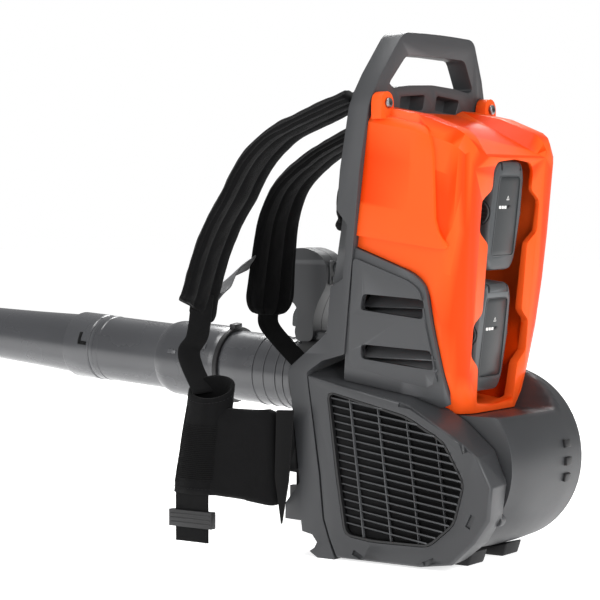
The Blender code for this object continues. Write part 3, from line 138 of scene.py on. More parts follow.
@dataclass(frozen=True)
class Finish:
    """Common part of every finish: a named Principled material.

    The subclasses add what their surface shows.
    """

    name: str
    colour: str
    roughness: float = 0.5
    specular: float = 0.5

    def shader(self) -> tuple[Material, NodeTree, Node]:
        """Make the material and return it with its tree and Principled node."""
        material = bpy.data.materials.new(self.name)
        material.use_nodes = True
        tree = material.node_tree
        shader = tree.nodes["Principled BSDF"]
        shader.inputs["Base Color"].default_value = linear(self.colour)
        shader.inputs["Roughness"].default_value = self.roughness
        shader.inputs["Specular IOR Level"].default_value = self.specular
        return material, tree, shader

    def shade(self, share: float) -> tuple[float, ...]:
        """The finish's linear colour, darkened or lightened by a share and kept within 1."""
        return tuple(min(1.0, channel * share) for channel in linear(self.colour)[:3]) + (1.0,)

    def detail(self, tree: NodeTree, shader: Node) -> None:
        """Add the finish's own pattern; a bare finish has none."""

    def material(self) -> Material:
        """The finished material, made on first use."""
        if self.name in bpy.data.materials:
            return bpy.data.materials[self.name]
        material, tree, shader = self.shader()
        self.detail(tree, shader)
        return material


@dataclass(frozen=True)
class MouldedPlastic(Finish):
    """Injection-moulded plastic: fine spark-eroded grain, faint colour drift and a paler highlight painted on
    convex edges.
    """

    grain_mm: float = 0.45
    grain_depth: float = 0.10
    drift: float = 0.06
    # Paler colour painted on convex edges as a highlight; empty paints none.
    edge_highlight: str = ""

    def detail(self, tree: NodeTree, shader: Node) -> None:
        """Grain in the bump, cloudy drift in colour and roughness, and a paler highlight painted on convex
        edges.
        """
        place = add_node(tree, "ShaderNodeTexCoord").outputs["Object"]
        cloud = add_node(tree, "ShaderNodeTexNoise", None, {"Scale": 9.0, "Detail": 4.0, "Roughness": 0.6},
                         {"Vector": place})
        colour = blended(tree, cloud.outputs["Fac"], self.shade(1.0 - self.drift),
                         self.shade(1.0 + self.drift))
        if self.edge_highlight:
            # Painted highlight: convex edges, found by pointiness, are lightened towards the paler edge
            # colour.
            edge = add_node(tree, "ShaderNodeNewGeometry").outputs["Pointiness"]
            highlight_mask = graded(tree, edge, (0.53, 0.62, 0.0, 0.30))
            edge_highlight = add_node(tree, "ShaderNodeMix", {"data_type": "RGBA"}, {7: linear(self.edge_highlight)},
                            {0: highlight_mask, 6: colour})
            colour = edge_highlight.outputs[2]
        tree.links.new(colour, shader.inputs["Base Color"])
        grain = add_node(tree, "ShaderNodeTexNoise", None,
                         {"Scale": 1.0 / (self.grain_mm * 0.001), "Detail": 2.0, "Roughness": 0.7},
                         {"Vector": place})
        bump = add_node(tree, "ShaderNodeBump", None, {"Strength": self.grain_depth, "Distance": 0.0004},
                        {"Height": grain.outputs["Fac"]})
        tree.links.new(bump.outputs["Normal"], shader.inputs["Normal"])
        rough = graded(tree, cloud.outputs["Fac"], (0.3, 0.7, self.roughness - 0.05, self.roughness + 0.07))
        tree.links.new(rough, shader.inputs["Roughness"])


@dataclass(frozen=True)
class WovenNylon(Finish):
    """Plain-woven nylon: over-under threads on the piece's own UV map, with a soft sheen."""

    thread_mm: float = 1.1
    depth: float = 0.55
    sheen: float = 0.25
    diagonal: bool = False

    def detail(self, tree: NodeTree, shader: Node) -> None:
        """Two crossed thread waves in colour and bump, broken by a slow unevenness."""
        shader.inputs["Sheen Weight"].default_value = self.sheen
        shader.inputs["Sheen Roughness"].default_value = 0.45
        place = add_node(tree, "ShaderNodeTexCoord")
        turn = math.radians(45.0) if self.diagonal else 0.0
        spin = add_node(tree, "ShaderNodeMapping", None, {"Rotation": (0.0, 0.0, turn)},
                        {"Vector": place.outputs["UV"]})
        scale = 1.0 / (self.thread_mm * 0.001)
        waves = []
        for direction in ("X", "Y"):
            wave = add_node(tree, "ShaderNodeTexWave", {"bands_direction": direction},
                            {"Scale": scale / 6.2832 * 3.1416, "Distortion": 0.4, "Detail": 1.0},
                            {"Vector": spin.outputs["Vector"]})
            waves.append(wave.outputs["Fac"])
        cross = add_node(tree, "ShaderNodeMath", {"operation": "MULTIPLY"}, None, {0: waves[0], 1: waves[1]})
        patch = add_node(tree, "ShaderNodeTexNoise", None, {"Scale": 38.0, "Detail": 5.0, "Roughness": 0.65},
                         {"Vector": place.outputs["Object"]})
        blend = add_node(tree, "ShaderNodeMath", {"operation": "MULTIPLY"}, None,
                         {0: cross.outputs[0], 1: patch.outputs["Fac"]})
        lift = graded(tree, blend.outputs[0], (0.0, 0.5, 0.0, 1.0))
        tint = blended(tree, lift, self.shade(0.55), self.shade(1.75))
        tree.links.new(tint, shader.inputs["Base Color"])
        bump = add_node(tree, "ShaderNodeBump", None, {"Strength": self.depth, "Distance": 0.0004},
                        {"Height": cross.outputs[0]})
        crease = add_node(tree, "ShaderNodeBump", None, {"Strength": 0.35, "Distance": 0.0015},
                          {"Height": patch.outputs["Fac"], "Normal": bump.outputs["Normal"]})
        tree.links.new(crease.outputs["Normal"], shader.inputs["Normal"])


@dataclass(frozen=True)
class BareMetal(Finish):
    """Plated or machined steel: bright, with fine turning marks."""

    def detail(self, tree: NodeTree, shader: Node) -> None:
        """Metallic base with streaked roughness."""
        shader.inputs["Metallic"].default_value = 1.0
        place = add_node(tree, "ShaderNodeTexCoord").outputs["Object"]
        streak = add_node(tree, "ShaderNodeTexNoise", None, {"Scale": 900.0, "Detail": 2.0},
                          {"Vector": place})
        rough = graded(tree, streak.outputs["Fac"], (0.0, 1.0, self.roughness - 0.08, self.roughness + 0.12))
        tree.links.new(rough, shader.inputs["Roughness"])


# Where a moulded finish lists a last, paler colour, it is the highlight painted on its convex edges.
# Impact-modified ABS, satin moulded: saturated orange with a soft highlight and almost no grain.
ORANGE_SHELL = MouldedPlastic("orange_abs_shell", "E23C04", 0.34, 0.10, 0.9, 0.03, 0.03, "FF7A36")

# Glass-filled nylon, fine spark texture: flat mid-grey with soft sheen at grazing light.
GREY_FRAME = MouldedPlastic("grey_nylon_frame", "353638", 0.46, 0.42, 0.55, 0.14, 0.05, "77787A")
# Polypropylene fan housing: a little glossier, so round forms carry a broad highlight.
GREY_HOUSING = MouldedPlastic("grey_pp_housing", "313234", 0.40, 0.45, 0.6, 0.10, 0.05, "6A6B6D")
# Polypropylene side panels, in the shade of the frame.
GREY_PANEL = MouldedPlastic("grey_pp_panel", "38393B", 0.44, 0.42, 0.6, 0.12, 0.05, "707173")
# Blow-moulded pipe, smooth with a broad satin highlight.
GREY_PIPE = MouldedPlastic("grey_pp_pipe", "3C3D40", 0.26, 0.80, 1.2, 0.05, 0.05, "808184")
# Polycarbonate battery case and its inset face.
PACK_CASE = MouldedPlastic("grey_pc_battery_case", "3A3D3F", 0.44, 0.42, 0.5, 0.12, 0.04, "7E8183")
PACK_FACE = MouldedPlastic("grey_pc_battery_face", "212426", 0.34, 0.45, 0.6, 0.06, 0.03)
# Black nylon mouldings: louvres, grille, buckles, clips.
BLACK_NYLON = MouldedPlastic("black_nylon_moulding", "171718", 0.42, 0.42, 0.5, 0.12, 0.08, "3A3A3C")
# Matt black painted shade, standing for the unlit depth of vents and slots.
VENT_SHADOW = MouldedPlastic("black_painted_vent_shade", "0B0B0C", 0.8, 0.2, 0.5, 0.05, 0.05)
# Thermoplastic rubber: bellows, feet, soft grip skin.
BLACK_RUBBER = MouldedPlastic("black_tpe_rubber", "1A1A1B", 0.62, 0.35, 0.8, 0.16, 0.08)
# White printed or lit marks.
WHITE_MARK = MouldedPlastic("white_light_pipe", "E8E8E6", 0.4, 0.5, 0.5, 0.02, 0.02)
# Padded nylon shell fabric, webbing, and stitching thread.
PAD_FABRIC = WovenNylon("black_nylon_pad_cloth", "0C0C0D", 0.88, 0.10, 1.3, 0.5, 0.05)
MESH_FABRIC = WovenNylon("black_spacer_mesh", "0C0C0D", 0.9, 0.10, 2.4, 0.8, 0.05, True)
WEBBING = WovenNylon("black_nylon_webbing", "0D0D0E", 0.78, 0.14, 1.8, 0.8, 0.04)
WEBBING_PALE = WovenNylon("grey_nylon_webbing", "47484A", 0.7, 0.3, 1.8, 0.7, 0.12)
THREAD = MouldedPlastic("black_polyester_thread", "1C1C1E", 0.7, 0.2, 0.3, 0.2, 0.1)
STEEL = BareMetal("zinc_plated_steel", "8D8E90", 0.32)


# ---------------------------------------------------------------- mesh tools

def posed(at: Sequence[float], turn: float, axis: str) -> Matrix:
    """A frame at a spot, turned about one axis by an angle in radians."""
    return Matrix.Translation(at) @ Matrix.Rotation(turn, 4, axis)


def mesh_of(bm: BMesh, name: str, merge: float = 0.0) -> Mesh:
    """Close a bmesh into a smooth-shaded mesh with outward faces.

    Args:
        bm: the working mesh, freed here.
        name: the mesh's name.
        merge: distance under which points become one.

    Returns:
        The mesh.
    """
    if merge > 0.0:
        bmesh.ops.remove_doubles(bm, verts=bm.verts, dist=merge)
    bmesh.ops.recalc_face_normals(bm, faces=bm.faces)
    mesh = bpy.data.meshes.new(name)
    bm.to_mesh(mesh)
    bm.free()
    mesh.shade_smooth()
    return mesh


def add_object(name: str, mesh: Mesh) -> Object:
    """Link a mesh into the scene as an object at the origin."""
    obj = bpy.data.objects.new(name, mesh)
    bpy.context.scene.collection.objects.link(obj)
    return obj


def settle(obj: Object) -> Object:
    """Turn an object's modifiers into plain mesh."""
    bpy.context.view_layer.update()
    mesh = bpy.data.meshes.new_from_object(obj.evaluated_get(bpy.context.evaluated_depsgraph_get()))
    mesh.name = obj.name
    obj.modifiers.clear()
    obj.data = mesh
    return obj


def hand_over(
    obj: Object, finish: Finish, body: str, stands_for: Sequence[str] = (),
) -> Object:
    """Dress a finished piece and let it ride on its body.

    Args:
        obj: the finished piece, at the origin.
        finish: its finish, used for every slot it hasn't dressed itself.
        body: the body it moves with.
        stands_for: the CAD nodes it replaces.

    Returns:
        The same piece.
    """
    if not obj.data.materials:
        obj.data.materials.append(finish.material())
    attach(obj, body)
    if stands_for:
        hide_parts(*stands_for)
    LOG.info("%s on %s, %d faces", obj.name, body, len(obj.data.polygons))
    return obj


def sharpen(mesh: Mesh, angle: float) -> None:
    """Keep edges above an angle in degrees crisp on a smooth-shaded mesh."""
    mesh.shade_smooth()
    mesh.set_sharp_from_angle(angle=math.radians(angle))


def crisp(obj: Object, angle: float) -> Object:
    """The same piece with its edges above an angle in degrees kept crisp."""
    sharpen(obj.data, angle)
    return obj


def soften(obj: Object, width: float, segments: int = 2, angle: float = 32.0) -> Object:
    """Round a piece's sharp edges and settle it.

    Args:
        obj: the piece.
        width: the radius in metres.
        segments: steps round the edge.
        angle: the least edge angle in degrees that is rounded.

    Returns:
        The same piece.
    """
    bevel = obj.modifiers.new("edge", "BEVEL")
    bevel.width = width
    bevel.segments = segments
    bevel.limit_method = "ANGLE"
    bevel.angle_limit = math.radians(angle)
    bevel.miter_outer = "MITER_ARC"
    bevel.harden_normals = False
    settle(obj)
    sharpen(obj.data, 40.0)
    return obj


def moulded_copy(node: str, name: str, radius: float, angle: float = 32.0) -> Object:
    """A copy of a CAD node with merged points, flat faces joined and its edges rounded.

    Args:
        node: the CAD node.
        name: the new piece's name.
        radius: the edge radius in metres; 0 leaves the edges as they are.
        angle: the least edge angle in degrees that is rounded.

    Returns:
        The piece, not yet handed over.
    """
    bm = bmesh.new()
    bm.from_mesh(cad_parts[node].data)
    bmesh.ops.remove_doubles(bm, verts=bm.verts, dist=0.00002)
    bmesh.ops.dissolve_limit(bm, angle_limit=math.radians(0.6), verts=bm.verts, edges=bm.edges)
    mesh = bpy.data.meshes.new(name)
    bm.to_mesh(mesh)
    bm.free()
    obj = add_object(name, mesh)
    if radius > 0.0:
        soften(obj, radius, 2, angle)
    sharpen(obj.data, 34.0)
    return obj


def extruded(
    outline: Sequence[Flat], low: float, high: float, along: Along, holes: Sequence[Sequence[Flat]] = (),
) -> Mesh:
    """A flat outline with holes, extruded from low to high.

    Args:
        outline: points in (X, Y), (X, Z) or (Y, Z), for Z, Y or X.
        low: the lower end.
        high: the upper end.
        along: the extrusion axis.
        holes: outlines cut out.

    Returns:
        A closed mesh.
    """
    curve = bpy.data.curves.new("outline", "CURVE")
    curve.dimensions = "2D"
    curve.fill_mode = "BOTH"
    curve.extrude = 0.5 * (high - low)
    for points in (outline, *holes):
        spline = curve.splines.new("POLY")
        spline.points.add(len(points) - 1)
        for item, point in zip(spline.points, points):
            item.co = (point[0], point[1], 0.0, 1.0)
        spline.use_cyclic_u = True
    holder = add_object("outline", curve)
    bpy.context.view_layer.update()
    flat = bpy.data.meshes.new_from_object(holder.evaluated_get(bpy.context.evaluated_depsgraph_get()))
    bpy.data.objects.remove(holder, do_unlink=True)
    bm = bmesh.new()
    bm.from_mesh(flat)
    bmesh.ops.remove_doubles(bm, verts=bm.verts, dist=1e-6)
    middle = 0.5 * (low + high)
    turns = {
        Along.X: Matrix(((0, 0, 1, middle), (1, 0, 0, 0), (0, 1, 0, 0), (0, 0, 0, 1))),
        Along.Y: Matrix(((1, 0, 0, 0), (0, 0, -1, middle), (0, 1, 0, 0), (0, 0, 0, 1))),
        Along.Z: Matrix.Translation((0, 0, middle)),
    }
    bmesh.ops.transform(bm, matrix=turns[along], verts=bm.verts)
    return mesh_of(bm, "extruded")


def bridged(rings: Sequence[Sequence[Point]], close_ends: bool = True) -> Mesh:
    """A skin through rings that hold the same number of points, with a UV map in metres.

    Args:
        rings: closed rings in order.
        close_ends: whether the first and last ring get a cap.

    Returns:
        The mesh, U round the ring and V along it.
    """
    bm = bmesh.new()
    layer = bm.loops.layers.uv.new("UVMap")
    rows = [[bm.verts.new(point) for point in ring] for ring in rings]
    count = len(rows[0])
    run = [0.0]
    for first, second in zip(rings, rings[1:]):
        run.append(run[-1] + (Vector(second[0]) - Vector(first[0])).length)
    girth = [0.0]
    widest = max(rings, key=lambda ring: (Vector(ring[0]) - Vector(ring[count // 2])).length)
    for index in range(count):
        girth.append(girth[-1] + (Vector(widest[(index + 1) % count]) - Vector(widest[index])).length)
    for row in range(len(rows) - 1):
        for index in range(count):
            after = (index + 1) % count
            face = bm.faces.new((rows[row][index], rows[row][after], rows[row + 1][after],
                                 rows[row + 1][index]))
            spots = ((girth[index], run[row]), (girth[index + 1], run[row]),
                     (girth[index + 1], run[row + 1]), (girth[index], run[row + 1]))
            for loop, spot in zip(face.loops, spots):
                loop[layer].uv = spot
    if close_ends:
        bm.faces.new(rows[0])
        bm.faces.new(rows[-1])
    return mesh_of(bm, "bridged")


TURNED_GIRTH = 0.26  # metres of surface pattern round a turned piece


def turned(profile: Sequence[Flat], place: Matrix, steps: int = 96) -> Mesh:
    """A closed profile turned about local Z.

    Args:
        profile: (radius, height) points of the closed wall section.
        place: the local frame.
        steps: sides of the round.

    Returns:
        The mesh, U round the axis and V along it, in metres.
    """
    bm = bmesh.new()
    layer = bm.loops.layers.uv.new("UVMap")
    rings = []
    for radius, height in profile:
        ring = []
        for step in range(steps):
            angle = 2.0 * math.pi * step / steps
            ring.append(bm.verts.new(place @ Vector((radius * math.cos(angle), radius * math.sin(angle),
                                                     height))))
        rings.append(ring)
    count = len(rings)
    for index in range(count):
        first, second = rings[index], rings[(index + 1) % count]
        v0, v1 = profile[index][1], profile[(index + 1) % count][1]
        for step in range(steps):
            after = (step + 1) % steps
            face = bm.faces.new((first[step], first[after], second[after], second[step]))
            u0 = TURNED_GIRTH * step / steps
            u1 = TURNED_GIRTH * (step + 1) / steps
            for loop, spot in zip(face.loops, ((u0, v0), (u1, v0), (u1, v1), (u0, v1))):
                loop[layer].uv = spot
    return mesh_of(bm, "turned")


def arc(centre: Flat, radius: float, start: float, end: float, steps: int) -> list[Flat]:
    """Points of an arc, with its angles in degrees."""
    return [
        (centre[0] + radius * math.cos(math.radians(start + (end - start) * step / steps)),
         centre[1] + radius * math.sin(math.radians(start + (end - start) * step / steps)))
        for step in range(steps + 1)
    ]


def rounded(corners: Sequence[Flat], radius: float, steps: int = 5) -> list[Flat]:
    """An outline with its corners rounded as far as its sides allow."""
    points: list[Flat] = []
    for index, spot in enumerate(corners):
        corner = Vector(spot)
        before = Vector(corners[index - 1]) - corner
        after = Vector(corners[(index + 1) % len(corners)]) - corner
        reach = min(radius, 0.45 * before.length, 0.45 * after.length)
        start = corner + before.normalized() * reach
        end = corner + after.normalized() * reach
        for step in range(steps + 1):
            t = step / steps
            spot_at = start * (1 - t) ** 2 + corner * (2 * t * (1 - t)) + end * t ** 2
            points.append((spot_at.x, spot_at.y))
    return points


def oblong(left: float, right: float, low: float, high: float) -> list[Flat]:
    """The four corners of an upright rectangle."""
    return [(left, low), (right, low), (right, high), (left, high)]


def smooth_line(points: Sequence[Point], steps: int) -> list[Vector]:
    """Catmull-Rom points through a list of points."""
    spots = [Vector(point) for point in points]
    padded = [2 * spots[0] - spots[1]] + spots + [2 * spots[-1] - spots[-2]]
    line: list[Vector] = []
    for p0, p1, p2, p3 in zip(padded, padded[1:], padded[2:], padded[3:]):
        for step in range(steps):
            t = step / steps
            line.append(0.5 * (2 * p1 + (p2 - p0) * t + (2 * p0 - 5 * p1 + 4 * p2 - p3) * t ** 2
                               + (3 * p1 - p0 - 3 * p2 + p3) * t ** 3))
    line.append(spots[-1])
    return line


def box_mesh(size: Point, centre: Point, place: Matrix | None = None) -> Mesh:
    """A closed box, for a helper that gets its rounding later."""
    bm = bmesh.new()
    bmesh.ops.create_cube(bm, size=1.0)
    bmesh.ops.scale(bm, vec=size, verts=bm.verts)
    bmesh.ops.translate(bm, vec=centre, verts=bm.verts)
    if place is not None:
        bmesh.ops.transform(bm, matrix=place, verts=bm.verts)
    return mesh_of(bm, "box")


def carve(obj: Object, mesh: Mesh, operation: str = "DIFFERENCE") -> Object:
    """Combine a piece with a helper mesh and settle it."""
    helper = add_object("helper", mesh)
    modifier = obj.modifiers.new("carve", "BOOLEAN")
    modifier.operation = operation
    modifier.solver = "EXACT"
    modifier.object = helper
    settle(obj)
    bpy.data.objects.remove(helper, do_unlink=True)
    return obj


def merged(meshes: Iterable[Mesh], name: str) -> Object:
    """Several closed meshes as one piece."""
    bm = bmesh.new()
    for mesh in meshes:
        bm.from_mesh(mesh)
    made = bpy.data.meshes.new(name)
    bm.to_mesh(made)
    bm.free()
    made.shade_smooth()
    return add_object(name, made)


# ---------------------------------------------------------------- repeated details, by geometry nodes

def open_tree(
    name: str, defaults: Sequence[tuple[str, float]],
) -> tuple[NodeTree, dict[str, str], Node]:
    """Start a geometry tree with named number inputs.

    Args:
        name: the tree's name.
        defaults: each input's label and default value.

    Returns:
        The tree, its input identifiers by label, and its entry node.
    """
    tree = bpy.data.node_groups.new(name, "GeometryNodeTree")
    tree.interface.new_socket(name="Geometry", in_out="INPUT", socket_type="NodeSocketGeometry")
    sockets = {}
    for label, value in defaults:
        socket = tree.interface.new_socket(name=label, in_out="INPUT", socket_type="NodeSocketFloat")
        socket.default_value = value
        sockets[label] = socket.identifier
    tree.interface.new_socket(name="Geometry", in_out="OUTPUT", socket_type="NodeSocketGeometry")
    return tree, sockets, add_node(tree, "NodeGroupInput")


def close_tree(tree: NodeTree, placed: Node, finish: Finish) -> None:
    """End a geometry tree: make its instances real, dress them and pass them out."""
    real = add_node(tree, "GeometryNodeRealizeInstances", None, None,
                    {"Geometry": placed.outputs["Instances"]})
    dressed = add_node(tree, "GeometryNodeSetMaterial", None, {"Material": finish.material()},
                       {"Geometry": real.outputs["Geometry"]})
    add_node(tree, "NodeGroupOutput", None, None, {"Geometry": dressed.outputs["Geometry"]})


def run_tree(
    obj: Object, tree: NodeTree, sockets: dict[str, str], values: Sequence[tuple[str, float]],
) -> None:
    """Apply a geometry tree to a piece with its inputs set."""
    modifier = obj.modifiers.new("repeat", "NODES")
    modifier.node_group = tree
    for label, value in values:
        modifier[sockets[label]] = value
    settle(obj)


def repeat_tree(name: str, finish: Finish, round_item: bool) -> tuple[NodeTree, dict[str, str]]:
    """Tree that sets one small item at every step of a path, turned along it.

    Args:
        name: the tree's name.
        finish: the item's finish.
        round_item: a capsule-like bead instead of a bar.

    Returns:
        The tree and its input identifiers by name: Spacing, Length, Width, Height.
    """
    tree, sockets, entry = open_tree(
        name, (("Spacing", 0.004), ("Length", 0.003), ("Width", 0.001), ("Height", 0.0005)))
    curve = add_node(tree, "GeometryNodeMeshToCurve", None, None, {"Mesh": entry.outputs["Geometry"]})
    points = add_node(tree, "GeometryNodeCurveToPoints", {"mode": "LENGTH"}, None,
                      {"Curve": curve.outputs["Curve"], "Length": entry.outputs["Spacing"]})
    size = add_node(tree, "ShaderNodeCombineXYZ", None, None,
                    {"X": entry.outputs["Width"], "Y": entry.outputs["Height"], "Z": entry.outputs["Length"]})
    if round_item:
        ball = add_node(tree, "GeometryNodeMeshIcoSphere", None, {"Radius": 0.5, "Subdivisions": 2})
        item = add_node(tree, "GeometryNodeTransform", None, None,
                        {"Geometry": ball.outputs["Mesh"], "Scale": size.outputs[0]})
        shape = item.outputs["Geometry"]
    else:
        shape = add_node(tree, "GeometryNodeMeshCube", None, None, {"Size": size.outputs[0]}).outputs["Mesh"]
    placed = add_node(tree, "GeometryNodeInstanceOnPoints", None, None,
                      {"Points": points.outputs["Points"], "Instance": shape,
                       "Rotation": points.outputs["Rotation"]})
    close_tree(tree, placed, finish)
    return tree, sockets


def repeated_along(
    name: str, lines: Sequence[Sequence[Vector]], finish: Finish, spacing: float, size: Point,
    round_item: bool = False,
) -> Object:
    """A row of small items along each line, as one plain mesh.

    Args:
        name: the piece's name.
        lines: the paths to follow.
        finish: the items' finish.
        spacing: step along a path in metres.
        size: an item's width, height and length along the path.
        round_item: beads instead of bars.

    Returns:
        The piece, dressed, not yet riding.
    """
    bm = bmesh.new()
    for line in lines:
        row = [bm.verts.new(point) for point in line]
        for first, second in zip(row, row[1:]):
            bm.edges.new((first, second))
    mesh = bpy.data.meshes.new(name)
    bm.to_mesh(mesh)
    bm.free()
    obj = add_object(name, mesh)
    tree, sockets = repeat_tree(name + "_tree", finish, round_item)
    run_tree(obj, tree, sockets,
             (("Spacing", spacing), ("Width", size[0]), ("Height", size[1]), ("Length", size[2])))
    if round_item:
        obj.data.shade_smooth()
    return obj


def slat_tree(name: str, finish: Finish) -> tuple[NodeTree, dict[str, str]]:
    """Tree that sets a slat on every point, as long as the point's "span" says.

    Args:
        name: the tree's name.
        finish: the slats' finish.

    Returns:
        The tree and its input identifiers by name: Depth, Thickness, Tilt, Twist.
    """
    tree, sockets, entry = open_tree(
        name, (("Depth", 0.005), ("Thickness", 0.0016), ("Tilt", 0.0), ("Twist", 0.0)))
    span = add_node(tree, "GeometryNodeInputNamedAttribute", {"data_type": "FLOAT"}, {"Name": "span"})
    size = add_node(tree, "ShaderNodeCombineXYZ", None, {"Y": 1.0},
                    {"X": entry.outputs["Depth"], "Z": entry.outputs["Thickness"]})
    bar = add_node(tree, "GeometryNodeMeshCube", None, {"Vertices Y": 12}, {"Size": size.outputs[0]})
    turn = add_node(tree, "ShaderNodeCombineXYZ", None, None,
                    {"X": entry.outputs["Tilt"], "Y": entry.outputs["Twist"]})
    reach = add_node(tree, "ShaderNodeCombineXYZ", None, {"X": 1.0, "Z": 1.0},
                     {"Y": span.outputs["Attribute"]})
    placed = add_node(tree, "GeometryNodeInstanceOnPoints", None, None,
                      {"Points": entry.outputs["Geometry"], "Instance": bar.outputs["Mesh"],
                       "Rotation": turn.outputs[0], "Scale": reach.outputs[0]})
    close_tree(tree, placed, finish)
    return tree, sockets


# ---------------------------------------------------------------- back frame, cover and side panels

def frame_rear_y(z: float) -> float:
    """Rear plane of the leaning back frame at a height."""
    return -0.0144 + 0.170 * (0.473 - z)


@dataclass
class BackFrame:
    """Leaning moulded frame with its carry bar, rails and lower cheeks."""

    edge: float = 0.0016

    def build(self) -> None:
        """Build the frame moulding."""
        moulding = moulded_copy("back_frame", "frame_moulding", self.edge)
        hand_over(moulding, GREY_FRAME, "machine", ["back_frame"])


SCREW_STEPS = 48  # sides of a screw head


def star_screw(radius: float, height: float, place: Matrix) -> Mesh:
    """A pan-head screw with a six-lobed socket, its head along local +Z."""
    rings = []
    for share, rise in ((1.0, 0.0), (1.0, 0.45), (0.93, 0.8), (0.78, 1.0), (0.0, 1.0), (0.0, 0.25),
                        (0.0, 0.25)):
        ring = []
        for step in range(SCREW_STEPS):
            angle = 2 * math.pi * step / SCREW_STEPS
            lobe = 0.46 + 0.09 * math.cos(6 * angle)
            reach = radius * (share if share > 0 else lobe)
            ring.append(place @ Vector((reach * math.cos(angle), reach * math.sin(angle), height * rise)))
        rings.append(ring)
    rings[-1] = [place @ Vector((0.1 * radius * math.cos(2 * math.pi * step / SCREW_STEPS),
                                 0.1 * radius * math.sin(2 * math.pi * step / SCREW_STEPS), height * 0.2))
                                 for step in range(SCREW_STEPS)]
    mesh = bridged(rings)
    sharpen(mesh, 40.0)
    return mesh


@dataclass
class RearCover:
    """Orange tower with its roof valley, battery window and ears."""

    edge: float = 0.0013

    def build(self) -> None:
        """Build the shell and its two ear screws."""
        shell = moulded_copy("rear_cover", "orange_cover_shell", self.edge, 22.0)
        hand_over(shell, ORANGE_SHELL, "machine", ["rear_cover"])
        for side in ("left", "right"):
            low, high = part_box(f"ear_screw_{side}")
            centre = 0.5 * (Vector(low) + Vector(high))
            place = posed((centre.x, low[1] + 0.0022, centre.z), math.pi / 2, "X")
            hand_over(add_object(f"ear_screw_head_{side}", star_screw(0.0052, 0.0024, place)), STEEL,
                      "machine", [f"ear_screw_{side}"])


@dataclass
class SidePanel:
    """Vented side panel: a flat raised face on a bevelled border, with louvres behind its two slots."""

    side: str
    edge: float = 0.0009
    raise_by: float = 0.0026
    face: tuple[Flat, ...] = (
        (0.0120, 0.3110), (-0.0520, 0.2885), (-0.0640, 0.2790), (-0.0745, 0.1850), (-0.0660, 0.1800),
        (-0.0350, 0.1860), (0.0255, 0.2010),
    )
    face_cut: Flat = (0.084, 0.13)
    louvre_drops: Flat = (-0.0075, 0.0035)
    louvre_tilt: float = 38.0
    slots: tuple[tuple[float, float, float], ...] = ((-0.0300, 0.2635, 0.082), (-0.0310, 0.2120, 0.088))

    def build(self) -> None:
        """Build the panel skin, its raised face and its louvres."""
        sign = -1.0 if self.side == "left" else 1.0
        node = f"side_panel_{self.side}"
        skin = moulded_copy(node, f"{node}_skin", self.edge)
        hand_over(skin, GREY_PANEL, "machine", [node])
        face = moulded_copy(node, f"{node}_face", 0.0)
        for vertex in face.data.vertices:
            vertex.co.x += sign * self.raise_by
        carve(face, extruded(rounded(self.face, 0.006), *sorted(sign * x for x in self.face_cut), Along.X),
              "INTERSECT")
        soften(face, 0.0018, 3, 40.0)
        hand_over(face, GREY_PANEL, "machine")
        blades = []
        for y, z, length in self.slots:
            for drop in self.louvre_drops:
                place = posed((sign * 0.0800, y, z + drop), sign * math.radians(self.louvre_tilt), "Y")
                blades.append(box_mesh((0.0200, length, 0.0016), (0, 0, 0), place))
        louvres = merged(blades, f"{node}_louvres")
        sharpen(louvres.data, 30.0)
        hand_over(louvres, GREY_FRAME, "machine")


# ---------------------------------------------------------------- battery packs

